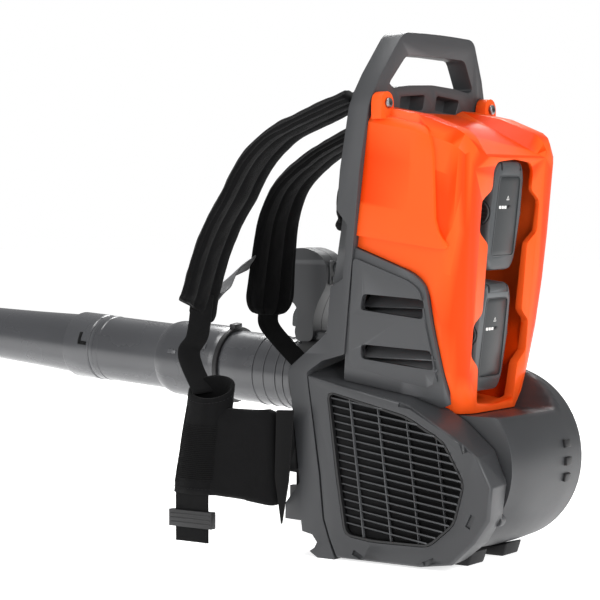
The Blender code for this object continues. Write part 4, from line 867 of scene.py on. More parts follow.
@dataclass
class BatteryPack:
    """Slide-in battery pack: case, inset face with charge lights, and ribbed release buttons."""

    label: str
    level: int
    pitch: float = 0.125
    light_row: tuple[float, ...] = (-0.0148, -0.0094, -0.0040)

    @property
    def place(self) -> Matrix:
        """The pack's frame: X across, Y into the bay, Z along the pack."""
        bay = posed((0.0, -0.0977, 0.2909), math.radians(6.7), "X")
        return bay @ Matrix.Translation((0.0, 0.0, self.level * 0.5 * self.pitch))

    def build(self) -> None:
        """Build the case, the face, the lights and the buttons."""
        body = f"pack_{self.label}"
        node = f"battery_{self.label}"
        case = moulded_copy(node, f"{node}_case", 0.0011)
        hand_over(case, PACK_CASE, body, [node])
        face = add_object(f"{node}_face", extruded(rounded(self.inset(0.0), 0.006), 0.0001, 0.0010, Along.Y))
        face.data.transform(self.place)
        soften(face, 0.0004, 2)
        hand_over(face, PACK_FACE, body, [f"{node}_label"])
        rim = add_object(f"{node}_face_rim", extruded(
            rounded(self.inset(0.0014), 0.006), -0.0005, 0.0009, Along.Y,
            [rounded(self.inset(0.0003), 0.0055)]))
        rim.data.transform(self.place)
        hand_over(soften(rim, 0.0003, 2), PACK_CASE, body)
        self.build_marks(node, body)
        for sign, side in ((-1.0, "left"), (1.0, "right")):
            self.build_button(f"{node}_button_{side}", sign, f"release_{self.label}_{side}")

    def inset(self, grow: float) -> list[Flat]:
        """The face's outline, as (X, Z)."""
        half = [(0.0208 + grow, 0.0394 + grow), (0.0218 + grow, -0.0404 - grow)]
        return half + [(-x, z) for x, z in reversed(half)]

    def build_marks(self, node: str, body: str) -> None:
        """Three charge lights, their oval button and a plain triangle sign, on the face."""
        bars = [self.mark(rounded(oblong(x - 0.0021, x + 0.0021, 0.0072, 0.0102), 0.0007))
                for x in self.light_row]
        lights = merged(bars, f"{node}_charge_lights")
        hand_over(lights, WHITE_MARK, body)
        oval = [(0.0040 + 0.0030 * math.cos(t * math.pi / 12), 0.0089 + 0.0019 * math.sin(t * math.pi / 12))
                for t in range(24)]
        button = add_object(f"{node}_charge_button", self.mark(oval, 0.0006))
        hand_over(soften(button, 0.0003, 2), BLACK_NYLON, body)
        outer = [(-0.0030, 0.0160), (0.0024, 0.0160), (-0.0003, 0.0205)]
        inner = [(-0.0022, 0.0165), (0.0016, 0.0165), (-0.0003, 0.0197)]
        sign = add_object(f"{node}_sign", extruded(outer, -0.0001, 0.0002, Along.Y, [inner]))
        sign.data.transform(self.place)
        hand_over(sign, WHITE_MARK, body)

    def mark(self, outline: Sequence[Flat], proud: float = 0.00025) -> Mesh:
        """A low mark standing on the face."""
        mesh = extruded(outline, -proud, 0.0003, Along.Y)
        mesh.transform(self.place)
        return mesh

    def build_button(self, node: str, sign: float, body: str) -> None:
        """One round side button with finger ribs."""
        button = moulded_copy(node, f"{node}_cap", 0.0007)
        hand_over(button, BLACK_NYLON, body, [node])
        x = sign * 0.0341
        rows = []
        for step in range(5):
            z = 0.0020 + (step - 2) * 0.0040
            reach = math.sqrt(max(0.0, 0.0105 ** 2 - (z - 0.0020) ** 2))
            rows.append([self.place @ Vector((x, 0.0150 + reach * (t / 10 - 1) , z)) for t in range(21)])
        ribs = repeated_along(f"{node}_ribs", rows, BLACK_NYLON, 0.0008, (0.0008, 0.0012, 0.0009))
        hand_over(ribs, BLACK_NYLON, body)


# ---------------------------------------------------------------- fan housing and intake

@dataclass
class FanHousing:
    """Two-part scroll housing with its snap clips, screw pillar and feet."""

    centre: Flat = (-0.0610, 0.1010)
    outlet: Flat = (-0.0200, 0.1440)
    dome: tuple[Point, ...] = (
        (0.0763, 0.0915, 0.0), (0.0830, 0.0900, 0.02), (0.0900, 0.0868, 0.08), (0.0990, 0.0790, 0.28),
        (0.1070, 0.0670, 0.60), (0.1120, 0.0530, 0.90), (0.1145, 0.0430, 1.0), (0.1177, 0.0420, 1.0),
    )
    drum: tuple[Point, ...] = (
        (-0.0580, 0.0840, 0.0), (-0.0300, 0.0890, 0.0), (0.0, 0.0918, 0.0), (0.0400, 0.0926, 0.0),
        (0.0757, 0.0915, 0.0),
    )
    saddle: tuple[float, float, float] = (0.1525, 0.0480, 0.0300)
    clip_angles: tuple[float, ...] = (11.2, -0.1, -10.4)

    def build(self) -> None:
        """Build the halves, their fittings and the feet."""
        for side, stations in (("left", self.drum), ("right", self.dome)):
            rings = [self.ring(item) for item in smooth_line(stations, 8)]
            hand_over(crisp(add_object(f"fan_housing_{side}", bridged(rings)), 60.0), GREY_HOUSING, "machine",
                      [f"volute_{side}"])
        self.build_fittings()
        for side in ("left", "right"):
            foot = moulded_copy(f"foot_{side}", f"rubber_foot_{side}", 0.0018)
            hand_over(foot, BLACK_RUBBER, "machine", [f"foot_{side}"])

    def ring(self, station: Vector) -> list[Point]:
        """One ring of either half; the station holds X, the radius and the share of the way to the outlet."""
        middle = tuple(a + station.z * (b - a) for a, b in zip(self.centre, self.outlet))
        share = min(max((station.x - self.saddle[1]) / self.saddle[2], 0.0), 1.0)
        top = self.saddle[0] + 0.0420 * share * share * (3.0 - 2.0 * share)
        return [(station.x, min(y, 0.0330), min(max(z, 0.0100), top)) for y,
                z in arc(middle, station.y, 0.0, 356.25, 96)]

    def build_fittings(self) -> None:
        """Three snap clips round the rear of the scroll and a screw pillar behind the intake cover."""
        pieces = []
        for angle in self.clip_angles:
            turn = math.radians(angle)
            out = Vector((0.0, -math.cos(turn), math.sin(turn)))
            place = Matrix.Translation(Vector((0.0435, *self.centre)) + out * 0.0935) @ Matrix.Rotation(-turn,
                                                                                                        4, "X")
            pieces.append(box_mesh((0.0120, 0.0040, 0.0085), (0.0, 0.0, 0.0), place))
        clips = soften(merged(pieces, "housing_snap_clips"), 0.0009)
        hand_over(clips, BLACK_NYLON, "machine")
        spot = posed((-0.0560, -0.1305, 0.0508), -math.pi / 2, "Y")
        hand_over(crisp(add_object("housing_screw_pillar", turned(
            [(0.0002, 0.0), (0.0066, 0.0), (0.0066, 0.0070), (0.0058, 0.0080), (0.0002, 0.0080)], spot, 40)),
            35.0), GREY_HOUSING, "machine")
        hand_over(add_object("housing_screw",
                             star_screw(0.0044, 0.0018, spot @ Matrix.Translation((0.0, 0.0, 0.0078)))),
                             BLACK_NYLON, "machine")


def grille_outline(grow: float) -> list[Flat]:
    """The intake opening, as (Y, Z)."""
    corners = [
        (0.0484, 0.1735), (-0.0468, 0.1535), (-0.0910, 0.1305), (-0.1150, 0.0900), (-0.1037, 0.0480),
        (-0.0740, 0.0230), (-0.0067, 0.0220), (0.0268, 0.0260), (0.0373, 0.0870),
    ]
    centre = Vector((-0.035, 0.09))
    spread = []
    for corner in corners:
        out = (Vector(corner) - centre).normalized()
        moved = Vector(corner) + out * grow
        spread.append((moved.x, moved.y))
    return rounded(spread, 0.008)


def chord(outline: Sequence[Flat], spot: Flat, direction: Flat) -> tuple[float, float] | None:
    """Where a line through a spot crosses an outline, as two distances along its direction.

    Args:
        outline: the closed outline.
        spot: a point on the line.
        direction: the line's unit direction.

    Returns:
        The nearest and farthest crossing, or None when it misses.
    """
    across = (-direction[1], direction[0])
    hits = []
    for first, second in zip(outline, list(outline[1:]) + [outline[0]]):
        a = (first[0] - spot[0]) * across[0] + (first[1] - spot[1]) * across[1]
        b = (second[0] - spot[0]) * across[0] + (second[1] - spot[1]) * across[1]
        if a * b < 0.0:
            t = a / (a - b)
            y = first[0] + t * (second[0] - first[0])
            z = first[1] + t * (second[1] - first[1])
            hits.append((y - spot[0]) * direction[0] + (z - spot[1]) * direction[1])
    return (min(hits), max(hits)) if len(hits) >= 2 else None


@dataclass
class Intake:
    """Intake cover on the wearer's left with its slatted grille."""

    slat_count: int = 20
    slat_pitch: float = 0.0078
    tilt: float = math.radians(7.5)
    rib_pitch: float = 0.0330
    face_x: float = -0.1000
    rib_lean: float = -0.12
    dent_centre: Flat = (-0.0350, 0.0950)
    dent_size: Point = (0.0044, 0.0058, 0.0140)
    dents: tuple[Flat, ...] = (
        (0.0340, 0.1870), (-0.0450, 0.1640), (-0.1125, 0.1270), (-0.1215, 0.0530), (0.0100, 0.0070),
        (-0.0740, 0.0080),
    )

    def build(self) -> None:
        """Build the cover, its dents and the grille."""
        cover = moulded_copy("intake_cover_left", "intake_cover_moulding", 0.0013)
        self.build_dents(cover)
        hand_over(cover, GREY_HOUSING, "machine", ["intake_cover_left"])
        low = self.face_x + 0.0004
        ring = extruded(grille_outline(-0.0004), low, low + 0.0050, Along.X, [grille_outline(-0.0028)])
        rim = add_object("grille_rim", ring)
        hand_over(soften(rim, 0.0005, 2), BLACK_NYLON, "machine", ["intake_grille"])
        limit = grille_outline(-0.0020)
        slats = [((-0.04, 0.0300 + index * self.slat_pitch), (math.cos(self.tilt), math.sin(self.tilt)))
                 for index in range(self.slat_count)]
        self.build_bars("grille_slats", limit, slats, (0.0052, 0.0012), self.tilt, math.radians(24))
        ribs = [((-0.0850 + index * self.rib_pitch, 0.1), (-math.sin(self.rib_lean), math.cos(self.rib_lean)))
                for index in range(4)]
        self.build_bars("grille_ribs", limit, ribs, (0.0042, 0.0011), math.pi / 2 + self.rib_lean, 0.0)
        self.build_screen()

    def build_bars(
        self, name: str, limit: Sequence[Flat], bars: Sequence[tuple[Flat, Flat]], size: Flat, tilt: float,
        twist: float,
    ) -> None:
        """One family of grille bars cut to the outline, as a single piece."""
        points, spans = [], []
        for spot, direction in bars:
            ends = chord(limit, spot, direction)
            if ends is None or ends[1] - ends[0] < 0.004:
                continue
            middle = 0.5 * (ends[0] + ends[1])
            points.append((self.face_x + 0.0040, spot[0] + middle * direction[0],
                           spot[1] + middle * direction[1]))
            spans.append(ends[1] - ends[0])
        mesh = bpy.data.meshes.new(name)
        mesh.from_pydata(points, [], [])
        mesh.attributes.new("span", "FLOAT", "POINT").data.foreach_set("value", spans)
        obj = add_object(name, mesh)
        tree, sockets = slat_tree(name + "_tree", GREY_FRAME)
        run_tree(obj, tree, sockets,
                 (("Depth", size[0]), ("Thickness", size[1]), ("Tilt", tilt), ("Twist", twist)))
        soften(obj, 0.0003, 1)
        hand_over(obj, GREY_FRAME, "machine")

    def build_dents(self, cover: Object) -> None:
        """Cut the finger dents round the cover's rim.

        Args:
            cover: the cover moulding.
        """
        for y, z in self.dents:
            turn = math.atan2(z - self.dent_centre[1], -(y - self.dent_centre[0]))
            place = posed((-0.1000, y, z), -turn, "X")
            carve(cover, box_mesh(self.dent_size, (0.0, 0.0, 0.0), place))
        sharpen(cover.data, 32.0)

    def build_screen(self) -> None:
        """Dark dust screen behind the slats: it stands for the real mesh screen, and its black is painted
        shade for the intake behind it.
        """
        hand_over(crisp(add_object("intake_dust_screen", extruded(
            grille_outline(-0.0030), self.face_x + 0.0068, self.face_x + 0.0076, Along.X)), 35.0),
            VENT_SHADOW, "machine")


# ---------------------------------------------------------------- blower tube

TUBE = posed((0.17, -0.02, 0.144), -math.pi / 2 + math.radians(3.66), "X")


def on_tube(degrees: float, radius: float, station: float) -> Matrix:
    """A place on the tube: turned about it, then out by a radius at a station."""
    return TUBE @ Matrix.Rotation(math.radians(degrees), 4, "Z") @ Matrix.Translation((radius, 0.0, station))


@dataclass
class PipeSection:
    """One turned pipe of the blower tube: a wall section between stations along the tube."""

    node: str
    body: str
    outer: tuple[Flat, ...]
    wall: float = 0.0022
    finish: Finish = GREY_PIPE
    slot: str = "grey_pipe"
    crisp: float = 24.0

    def build(self) -> None:
        """Build the pipe from its outer stations and wall."""
        inner = [(radius - self.wall, height) for radius, height in reversed(self.outer)]
        hand_over(crisp(add_object(f"{self.node}_shell", turned([*self.outer, *inner], TUBE, 96)),
                        self.crisp), self.finish, self.body, [self.node])


@dataclass
class Bellows:
    """Corrugated rubber sleeve between the elbow and the first pipe."""

    start: float = 0.0600
    end: float = 0.2350
    ribs: int = 11
    crest: float = 0.0460
    root: float = 0.0405
    wall: float = 0.0019

    def build(self) -> None:
        """Build the sleeve with rounded crests."""
        pitch = (self.end - self.start - 0.0240) / self.ribs
        outer = [(0.0420, self.start + 0.0003)]
        for step in range(self.ribs * 10 + 1):
            wave = 0.5 - 0.5 * math.cos(2 * math.pi * step / 10)
            outer.append((self.root + (self.crest - self.root) * wave ** 0.75,
                          self.start + 0.0120 + pitch * step / 10))
        outer.append((0.0420, self.end - 0.0003))
        inner = [(radius - self.wall, height) for radius, height in reversed(outer)]
        sleeve = add_object("bellows_sleeve", turned([*outer, *inner], TUBE, 72))
        sleeve.data.materials.append(BLACK_RUBBER.material())
        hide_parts("bellows")
        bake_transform(sleeve)


@dataclass
class BandClamp:
    """Screw band that holds a bellows end: band, raised edges and screw housing."""

    label: str
    station: float
    body: str
    radius: float = 0.0453

    def build(self) -> None:
        """Build the band and its screw housing."""
        half = 0.0079
        low, high = self.station - half, self.station + half
        outer = [(self.radius - 0.0006, low), (self.radius, low + 0.0008), (self.radius, low + 0.0022),
                 (self.radius - 0.0009, low + 0.0028), (self.radius - 0.0009, high - 0.0028),
                 (self.radius, high - 0.0022), (self.radius, high - 0.0008), (self.radius - 0.0006, high)]
        hand_over(crisp(add_object(f"bellows_band_{self.label}",
                                   turned([*outer, (0.0425, high), (0.0425, low)], TUBE, 96)), 28.0),
                                   BLACK_NYLON, self.body, [f"bellows_clamp_{self.label}"])
        place = on_tube(-128, self.radius + 0.0010, self.station)
        block = soften(merged([box_mesh((0.0060, 0.0180, 0.0130), (0, 0, 0), place)],
                              f"band_lug_{self.label}"), 0.0014)
        hand_over(block, BLACK_NYLON, self.body)
        hand_over(add_object(f"band_screw_{self.label}", star_screw(
            0.0036, 0.0020, place @ posed((0, -0.0092, 0), math.pi / 2, "X"))), STEEL, self.body)


@dataclass
class BlowerTube:
    """Elbow, bellows, clamps and the jointed pipes down to the nozzle."""

    ridge_stations: tuple[float, ...] = (0.2850, 0.2960, 0.3130, 0.3290)

    def build(self) -> None:
        """Build every section in order from the housing to the tip."""
        elbow = moulded_copy("elbow", "elbow_shell", 0.0)
        sharpen(elbow.data, 50.0)
        hand_over(elbow, GREY_PIPE, "elbow_assembly", ["elbow"])
        Bellows().build()
        BandClamp("rear", 0.0600, "elbow_assembly").build()
        BandClamp("front", 0.2350, "rear_tube").build()
        rear: list[Flat] = [(0.0420, 0.2353)]
        for station in self.ridge_stations:
            rear += [(0.0420, station - 0.0012), (0.0429, station - 0.0006), (0.0429, station + 0.0006),
                     (0.0420, station + 0.0012)]
        rear.append((0.0420, 0.3920))
        PipeSection("rear_pipe", "rear_tube", tuple(rear)).build()
        self.build_sleeve()
        PipeSection("mid_pipe", "middle_tube",
                    ((0.0402, 0.3926), (0.0402, 0.5700), (0.0408, 0.5712), (0.0408, 0.5770),
                                                (0.0402, 0.5782), (0.0402, 0.5838))).build()
        PipeSection("front_pipe", "front_tube", (
            (0.0402, 0.5845), (0.0412, 0.5862), (0.0412, 0.6240), (0.0406, 0.6258), (0.0378, 0.6275),
            (0.0374, 0.6330),
            (0.0362, 0.6600), (0.0345, 0.7050), (0.0330, 0.7560), (0.0318, 0.8100), (0.0303, 0.8600),
            (0.0303, 0.8700),
            (0.0300, 0.8712), (0.0300, 0.8797))).build()
        PipeSection("nozzle", "nozzle_tip", (
            (0.0303, 0.8805), (0.0314, 0.8830), (0.0314, 0.9020), (0.0308, 0.9040), (0.0296, 0.9500),
            (0.0284, 1.0100),
            (0.0272, 1.0520), (0.0278, 1.0540), (0.0278, 1.0585), (0.0270, 1.0600))).build()
        self.build_bayonets()

    def build_sleeve(self) -> None:
        """Sleeve over the joint of the first two pipes, with its dark clamp band and locating lugs."""
        outer = ((0.0440, 0.3862), (0.0454, 0.3900), (0.0458, 0.3930), (0.0458, 0.4600), (0.0454, 0.4650),
                 (0.0442, 0.4700),
                 (0.0428, 0.4740), (0.0420, 0.4760))
        inner = ((0.0406, 0.4760), (0.0406, 0.3930), (0.0424, 0.3925), (0.0424, 0.3862))
        hand_over(crisp(add_object("pipe_joint_sleeve", turned([*outer, *inner], TUBE, 96)), 30.0), GREY_PIPE,
                  "rear_tube", ["pipe_sleeve"])
        hand_over(crisp(add_object("sleeve_clamp_band", turned(
            [(0.0424, 0.3792), (0.0456, 0.3792), (0.0462, 0.3800), (0.0462, 0.3848), (0.0456, 0.3856),
             (0.0424, 0.3856)],
            TUBE, 96)), 28.0), BLACK_NYLON, "rear_tube")
        lug_place = on_tube(-96, 0.0475, 0.3824)
        lug = soften(merged([box_mesh((0.0066, 0.0150, 0.0090), (0, 0, 0), lug_place)], "sleeve_clamp_lug"),
                     0.0013)
        hand_over(lug, BLACK_NYLON, "rear_tube")
        pieces = []
        for turn, station, size in ((-150, 0.4020, (0.0022, 0.0070, 0.0050)),
                                    (-165, 0.4480, (0.0020, 0.0050, 0.0120)),
                                    (-30, 0.4020, (0.0022, 0.0070, 0.0050)),
                                    (15, 0.4480, (0.0020, 0.0050, 0.0120))):
            place = on_tube(turn, 0.0460, station)
            pieces.append(box_mesh(size, (0, 0, 0), place))
        hand_over(soften(merged(pieces, "sleeve_locating_lugs"), 0.0006), GREY_PIPE, "rear_tube")

    def build_bayonets(self) -> None:
        """L-shaped bayonet slots on the two twist joints."""
        for label, radius, low, body in (("middle", 0.0412, 0.5990, "front_tube"),
                                         ("tip", 0.0314, 0.8880, "nozzle_tip")):
            pieces = []
            for turn in (-170.0, 10.0):
                for step in range(9):
                    place = on_tube(turn + step * 2.2, radius, low)
                    pieces.append(box_mesh((0.0008, radius * math.radians(2.4), 0.0042), (0, 0, 0), place))
                place = on_tube(turn, radius, low - 0.0050)
                pieces.append(box_mesh((0.0008, 0.0046, 0.0130), (0, 0, 0), place))
            # The slots are thin marks on the pipe's surface; their black is painted shade for each slot's
            # depth.
            hand_over(merged(pieces, f"{label}_bayonet_slots"), VENT_SHADOW, body)


# ---------------------------------------------------------------- control handle

@dataclass
class ControlHandle:
    """Grip on the first pipe: clamp bracket, moulded grip, keypad, dome button and throttle trigger."""

    x: float = 0.1700
    half_width: float = 0.0185
    round_radius: float = 0.0062
    outline: tuple[Flat, ...] = (
        (0.2362, 0.2022), (0.2598, 0.2022), (0.2634, 0.2140), (0.2580, 0.2290), (0.2602, 0.2440),
        (0.2785, 0.2560), (0.2886, 0.2760), (0.2846, 0.2980), (0.2700, 0.3106), (0.2480, 0.3128),
        (0.2270, 0.3056), (0.2164, 0.2920), (0.2172, 0.2680), (0.2292, 0.2500), (0.2372, 0.2280),
    )

    def build(self) -> None:
        """Build the bracket, grip, keypad, button and trigger."""
        self.build_bracket()
        self.build_grip()
        self.build_keypad()
        self.build_trigger()

    def build_bracket(self) -> None:
        """Clamp ring round the pipe with its split lugs and screw."""
        low, high = 0.2442, 0.2738
        profile = [(0.0424, low), (0.0447, low), (0.0453, low + 0.0010), (0.0453, high - 0.0010),
                   (0.0447, high), (0.0424, high)]
        hand_over(crisp(add_object("handle_clamp_ring", turned(profile, TUBE, 96)), 30.0), BLACK_NYLON,
                  "control_handle", ["handle_bracket"])
        pieces = []
        for side in (-1, 1):
            place = TUBE @ Matrix.Translation((side * 0.0040, 0.0485, 0.2590))
            pieces.append(box_mesh((0.0052, 0.0110, 0.0250), (0, 0, 0), place))
        hand_over(soften(merged(pieces, "handle_clamp_lugs"), 0.0012), BLACK_NYLON, "control_handle")
        hand_over(add_object("handle_clamp_screw", star_screw(
            0.0040, 0.0022, TUBE @ posed((-0.0066, 0.0490, 0.2590), -math.pi / 2, "Y"))), STEEL,
            "control_handle")
        foot = soften(merged([box_mesh((0.0240, 0.0110, 0.0240), (0.0, -0.0480, 0.2590), TUBE)],
                             "handle_post_foot"), 0.0020)
        hand_over(foot, GREY_FRAME, "control_handle")

    def build_grip(self) -> None:
        """The grip body with rounded flanks, the trigger slot and the keypad recess."""
        grip = add_object("grip_body", extruded(rounded(self.outline, 0.0100, 6), self.x - self.half_width,
                                                self.x + self.half_width, Along.X))
        soften(grip, self.round_radius, 4, 50.0)
        slot = [(0.2450, 0.2160), (0.2920, 0.2160), (0.2920, 0.2500), (0.2560, 0.2490), (0.2470, 0.2440)]
        carve(grip, extruded(rounded(slot, 0.003), self.x - 0.0075, self.x + 0.0075, Along.X))
        recess = extruded(rounded(self.key_corners(0.0), 0.003), 0.2050, 0.2190, Along.Y)
        carve(grip, recess)
        carve(grip, turned([(0.0, 0.0), (0.0062, 0.0), (0.0062, 0.02), (0.0, 0.02)],
                           posed((self.x, 0.2240, 0.2890), math.pi / 2, "X"), 32))
        sharpen(grip.data, 30.0)
        hand_over(grip, GREY_FRAME, "control_handle", ["control_grip"])
        seam = [Vector((self.x, y, z)) for y, z in rounded(self.outline, 0.0100, 6)]
        ring = []
        for index, point in enumerate(seam):
            along = (seam[(index + 1) % len(seam)] - seam[index - 1]).normalized()
            out = along.cross(Vector((1, 0, 0)))
            ring.append([point + Vector((dx, 0, 0)) + out * dz for dx,
                         dz in ((-0.0004, 0), (0, 0.0003), (0.0004, 0), (0, -0.0003))])
        ring.append(ring[0])
        hand_over(add_object("grip_parting_line", bridged(ring, False)), BLACK_NYLON, "control_handle")

    def key_corners(self, grow: float) -> list[Flat]:
        """The keypad's outline, as (X, Z)."""
        half, low, high = 0.0125 + grow, 0.2700 - grow, 0.2960 + grow
        return oblong(self.x - half, self.x + half, low, high)

    def build_keypad(self) -> None:
        """Keypad plate with its raised outline and mode key, and the dome button on its own body."""
        hole = [(self.x + 0.0062 * math.cos(t * math.pi / 16), 0.2890 + 0.0062 * math.sin(t * math.pi / 16))
                for t in range(32)]
        plate = add_object("keypad_plate",
                           extruded(rounded(self.key_corners(-0.0004), 0.003), 0.2168, 0.2186, Along.Y,
                                    [hole]))
        hand_over(soften(plate, 0.0003, 1), BLACK_NYLON, "control_handle", ["grip_keypad"])
        rim = add_object("keypad_rim",
                         extruded(rounded(self.key_corners(0.0016), 0.004), 0.2150, 0.2172, Along.Y,
                                                [rounded(self.key_corners(0.0001), 0.003)]))
        hand_over(soften(rim, 0.0006, 2), GREY_FRAME, "control_handle")
        key = oblong(self.x - 0.0075, self.x + 0.0075, 0.2730, 0.2790)
        mode = add_object("keypad_mode_key", extruded(rounded(key, 0.002), 0.2160, 0.2170, Along.Y))
        hand_over(soften(mode, 0.0004, 2), PACK_CASE, "control_handle")
        dome_profile = [(0.0, 0.0068), (0.0020, 0.0066), (0.0040, 0.0058), (0.0052, 0.0044), (0.0056, 0.0028),
                        (0.0056, 0.0), (0.0, 0.0)]
        place = posed((self.x, 0.2212, 0.2890), math.pi / 2, "X")
        hand_over(crisp(add_object("power_dome",
                                   turned([(max(r, 0.0002), h) for r, h in dome_profile], place, 40)), 45.0),
                                   PACK_CASE, "power_switch", ["power_button"])

    def build_trigger(self) -> None:
        """Curved throttle trigger."""
        outline = [
            (0.2500, 0.2440), (0.2560, 0.2465), (0.2660, 0.2440), (0.2735, 0.2340), (0.2745, 0.2190),
            (0.2690, 0.2180), (0.2670, 0.2300), (0.2610, 0.2380), (0.2520, 0.2390),
        ]
        trigger = add_object("trigger_blade",
                             extruded(rounded(outline, 0.006, 5), self.x - 0.0064, self.x + 0.0064, Along.X))
        hand_over(soften(trigger, 0.0014, 3, 50.0), PACK_CASE, "trigger", ["throttle_trigger"])


# ---------------------------------------------------------------- harness

STITCH_PITCH = 0.0044
STITCH_SIZE = (0.0007, 0.0005, 0.0031)


@dataclass
class Frame3:
    """A point on a strap with its directions along, across and out of the face."""

    at: Vector
    along: Vector
    across: Vector
    out: Vector


def strap_frames(line: Sequence[Point], yaw: float, steps: int) -> list[Frame3]:
    """Frames along a strap that faces away from the wearer's side at its start."""
    route = smooth_line(line, steps)
    frames = []
    for index, point in enumerate(route):
        before = route[max(index - 1, 0)]
        after = route[min(index + 1, len(route) - 1)]
        along = (after - before).normalized()
        share = max(0.0, (index / (len(route) - 1) - 0.45) / 0.55)
        out = Matrix.Rotation(yaw * share, 3, along) @ Vector((1.0, 0.0, 0.0)).cross(along)
        out = (out - along * out.dot(along)).normalized()
        frames.append(Frame3(point, along, along.cross(out), out))
    return frames


@dataclass
class PaddedStrap:
    """Quilted shoulder strap: foam lanes between stitched channels, bound edges and a shaped lower end."""

    side: str
    line: tuple[Point, ...]
    yaw: float
    seams: tuple[float, ...]
    tip: float
    slant: float
    width: float = 0.0660
    thickness: float = 0.0145
    binding: float = 0.0070
    seed: float = 0.0

    def half_width(self, left: float) -> float:
        """Half the strap's width, given the length left to its lower end."""
        if left >= self.tip:
            return 0.5 * self.width
        share = max(0.0, left / self.tip)
        end = 0.72 if self.side == "left" else 0.45
        return 0.5 * self.width * (end + (1.0 - end) * math.sqrt(1.0 - (1.0 - share) ** 2))

    def pull(self, across: float, left: float) -> float:
        """How far the slanted lower end draws a place back along the strap."""
        return 0.5 * (1.0 - across) * self.slant * max(0.0, 1.0 - left / 0.060) ** 1.5

    def height(self, across: float, run: float, left: float) -> float:
        """Height of the face above the middle surface at a place on the strap."""
        edges = [-1.0, *self.seams, 1.0]
        level = 1.0
        for low, high in zip(edges, edges[1:]):
            if low <= across <= high:
                share = (across - low) / (high - low)
                level = math.sin(math.pi * min(max(share, 0.0), 1.0)) ** 0.42
        flat = 0.5 * self.thickness * (0.34 + 0.66 * level)
        bound = 1.0 - self.binding / (0.5 * self.width)
        if abs(across) > bound:
            flat = 0.5 * self.thickness * 0.40
        crease = noise.noise(Vector((across * 2.2 + self.seed, run * 46.0, self.seed))) * 0.0011
        crease += noise.noise(Vector((across * 5.0, run * 95.0, self.seed + 3.0))) * 0.0005
        taper = min(1.0, 0.45 + left / 0.012)
        return (flat + crease * level) * taper

    def build(self) -> None:
        """Build the padded body, its stitch rows and its binding stitches."""
        frames = strap_frames(self.line, self.yaw, 16)
        runs = [0.0]
        for first, second in zip(frames, frames[1:]):
            runs.append(runs[-1] + (second.at - first.at).length)
        total = runs[-1]
        count = 44
        rings = []
        rows: dict[float, list[Vector]] = {spot: [] for spot in (*self.seams, -0.90, 0.90)}
        for spot_frame, run in zip(frames, runs):
            left = total - run
            half = self.half_width(left)
            ring = []
            for face in (1.0, -1.0):
                for step in range(count + 1):
                    across = (-1.0 + 2.0 * step / count) * face
                    edge = max(0.0, 1.0 - abs(across) ** 14) ** 0.5
                    rise = self.height(across, run,
                                       left) * (0.12 + 0.88 * edge) * face * (1.0 if face > 0 else 0.8)
                    place = spot_frame.at - spot_frame.along * self.pull(across, left)
                    ring.append(place + spot_frame.across * across * half + spot_frame.out * rise)
            rings.append(ring)
            for spot in rows:
                if 0.030 < run < total - 0.012:
                    rise = self.height(spot, run, left) + 0.0001
                    place = spot_frame.at - spot_frame.along * self.pull(spot, left)
                    rows[spot].append(place + spot_frame.across * spot * half + spot_frame.out * rise)
        body = add_object(f"shoulder_pad_{self.side}", bridged(rings))
        hand_over(body, PAD_FABRIC, "machine", [f"shoulder_strap_{self.side}"])
        threads = repeated_along(f"shoulder_stitches_{self.side}", list(rows.values()), THREAD, STITCH_PITCH,
                                 STITCH_SIZE, True)
        hand_over(threads, THREAD, "machine")
        if self.side == "left":
            self.build_patch(frames, runs)

    def build_patch(self, frames: Sequence[Frame3], runs: Sequence[float]) -> None:
        """Webbing patch sewn on near the lower end, with its ladder of cross stitches."""
        total = runs[-1]
        chosen = [(item, run) for item, run in zip(frames, runs) if 0.012 < total - run < 0.075]
        rings, ladder = [], []
        for item, run in chosen:
            rise = self.height(0.16, run, total - run) + 0.0010
            middle = item.at + item.across * 0.006 + item.out * rise
            rings.append([middle + item.across * dx + item.out * dz for dx, dz in (
                (-0.0110, -0.0010), (-0.0110, 0.0004), (-0.0100, 0.0009), (0.0100, 0.0009), (0.0110, 0.0004),
                (0.0110, -0.0010))])
        hand_over(add_object("shoulder_patch_left", bridged(rings)), WEBBING, "machine")
        for item, run in chosen[2:-2:2]:
            rise = self.height(0.16, run, total - run) + 0.0021
            middle = item.at + item.across * 0.006 + item.out * rise
            ladder.append([middle + item.across * dx for dx in (-0.0085, 0.0085)])
        bars = repeated_along("shoulder_patch_ladder", ladder, THREAD, 0.0016, (0.0008, 0.0006, 0.0013), True)
        hand_over(bars, THREAD, "machine")


def ribbon(frames: Sequence[Frame3], width: float, thickness: float) -> Mesh:
    """A flat webbing band with rounded edges along frames."""
    half, rise = 0.5 * width, 0.5 * thickness
    section = [(-half, 0.0), (-half + 0.0006, rise * 0.8), (-half + 0.0016, rise)]
    section += [(-half + 0.0016 + (width - 0.0032) * step / 8, rise) for step in range(1, 8)]
    section += [(half - 0.0016, rise), (half - 0.0006, rise * 0.8), (half, 0.0), (half - 0.0006, -rise * 0.8),
                (half - 0.0016, -rise)]
    section += [(half - 0.0016 - (width - 0.0032) * step / 8, -rise) for step in range(1, 8)]
    section += [(-half + 0.0016, -rise), (-half + 0.0006, -rise * 0.8)]
    rings = [[item.at + item.across * dx + item.out * dz for dx, dz in section] for item in frames]
    return bridged(rings)


def facing_frames(line: Sequence[Point], across: Sequence[Point], steps: int = 10) -> list[Frame3]:
    """Frames along a line whose width runs along given directions, blended between the points."""
    route = smooth_line(line, steps)
    turns = smooth_line(across, steps)
    frames = []
    for index, (point, side) in enumerate(zip(route, turns)):
        along = (route[min(index + 1, len(route) - 1)] - route[max(index - 1, 0)]).normalized()
        flat = (side - along * side.dot(along)).normalized()
        frames.append(Frame3(point, along, flat, flat.cross(along)))
    return frames


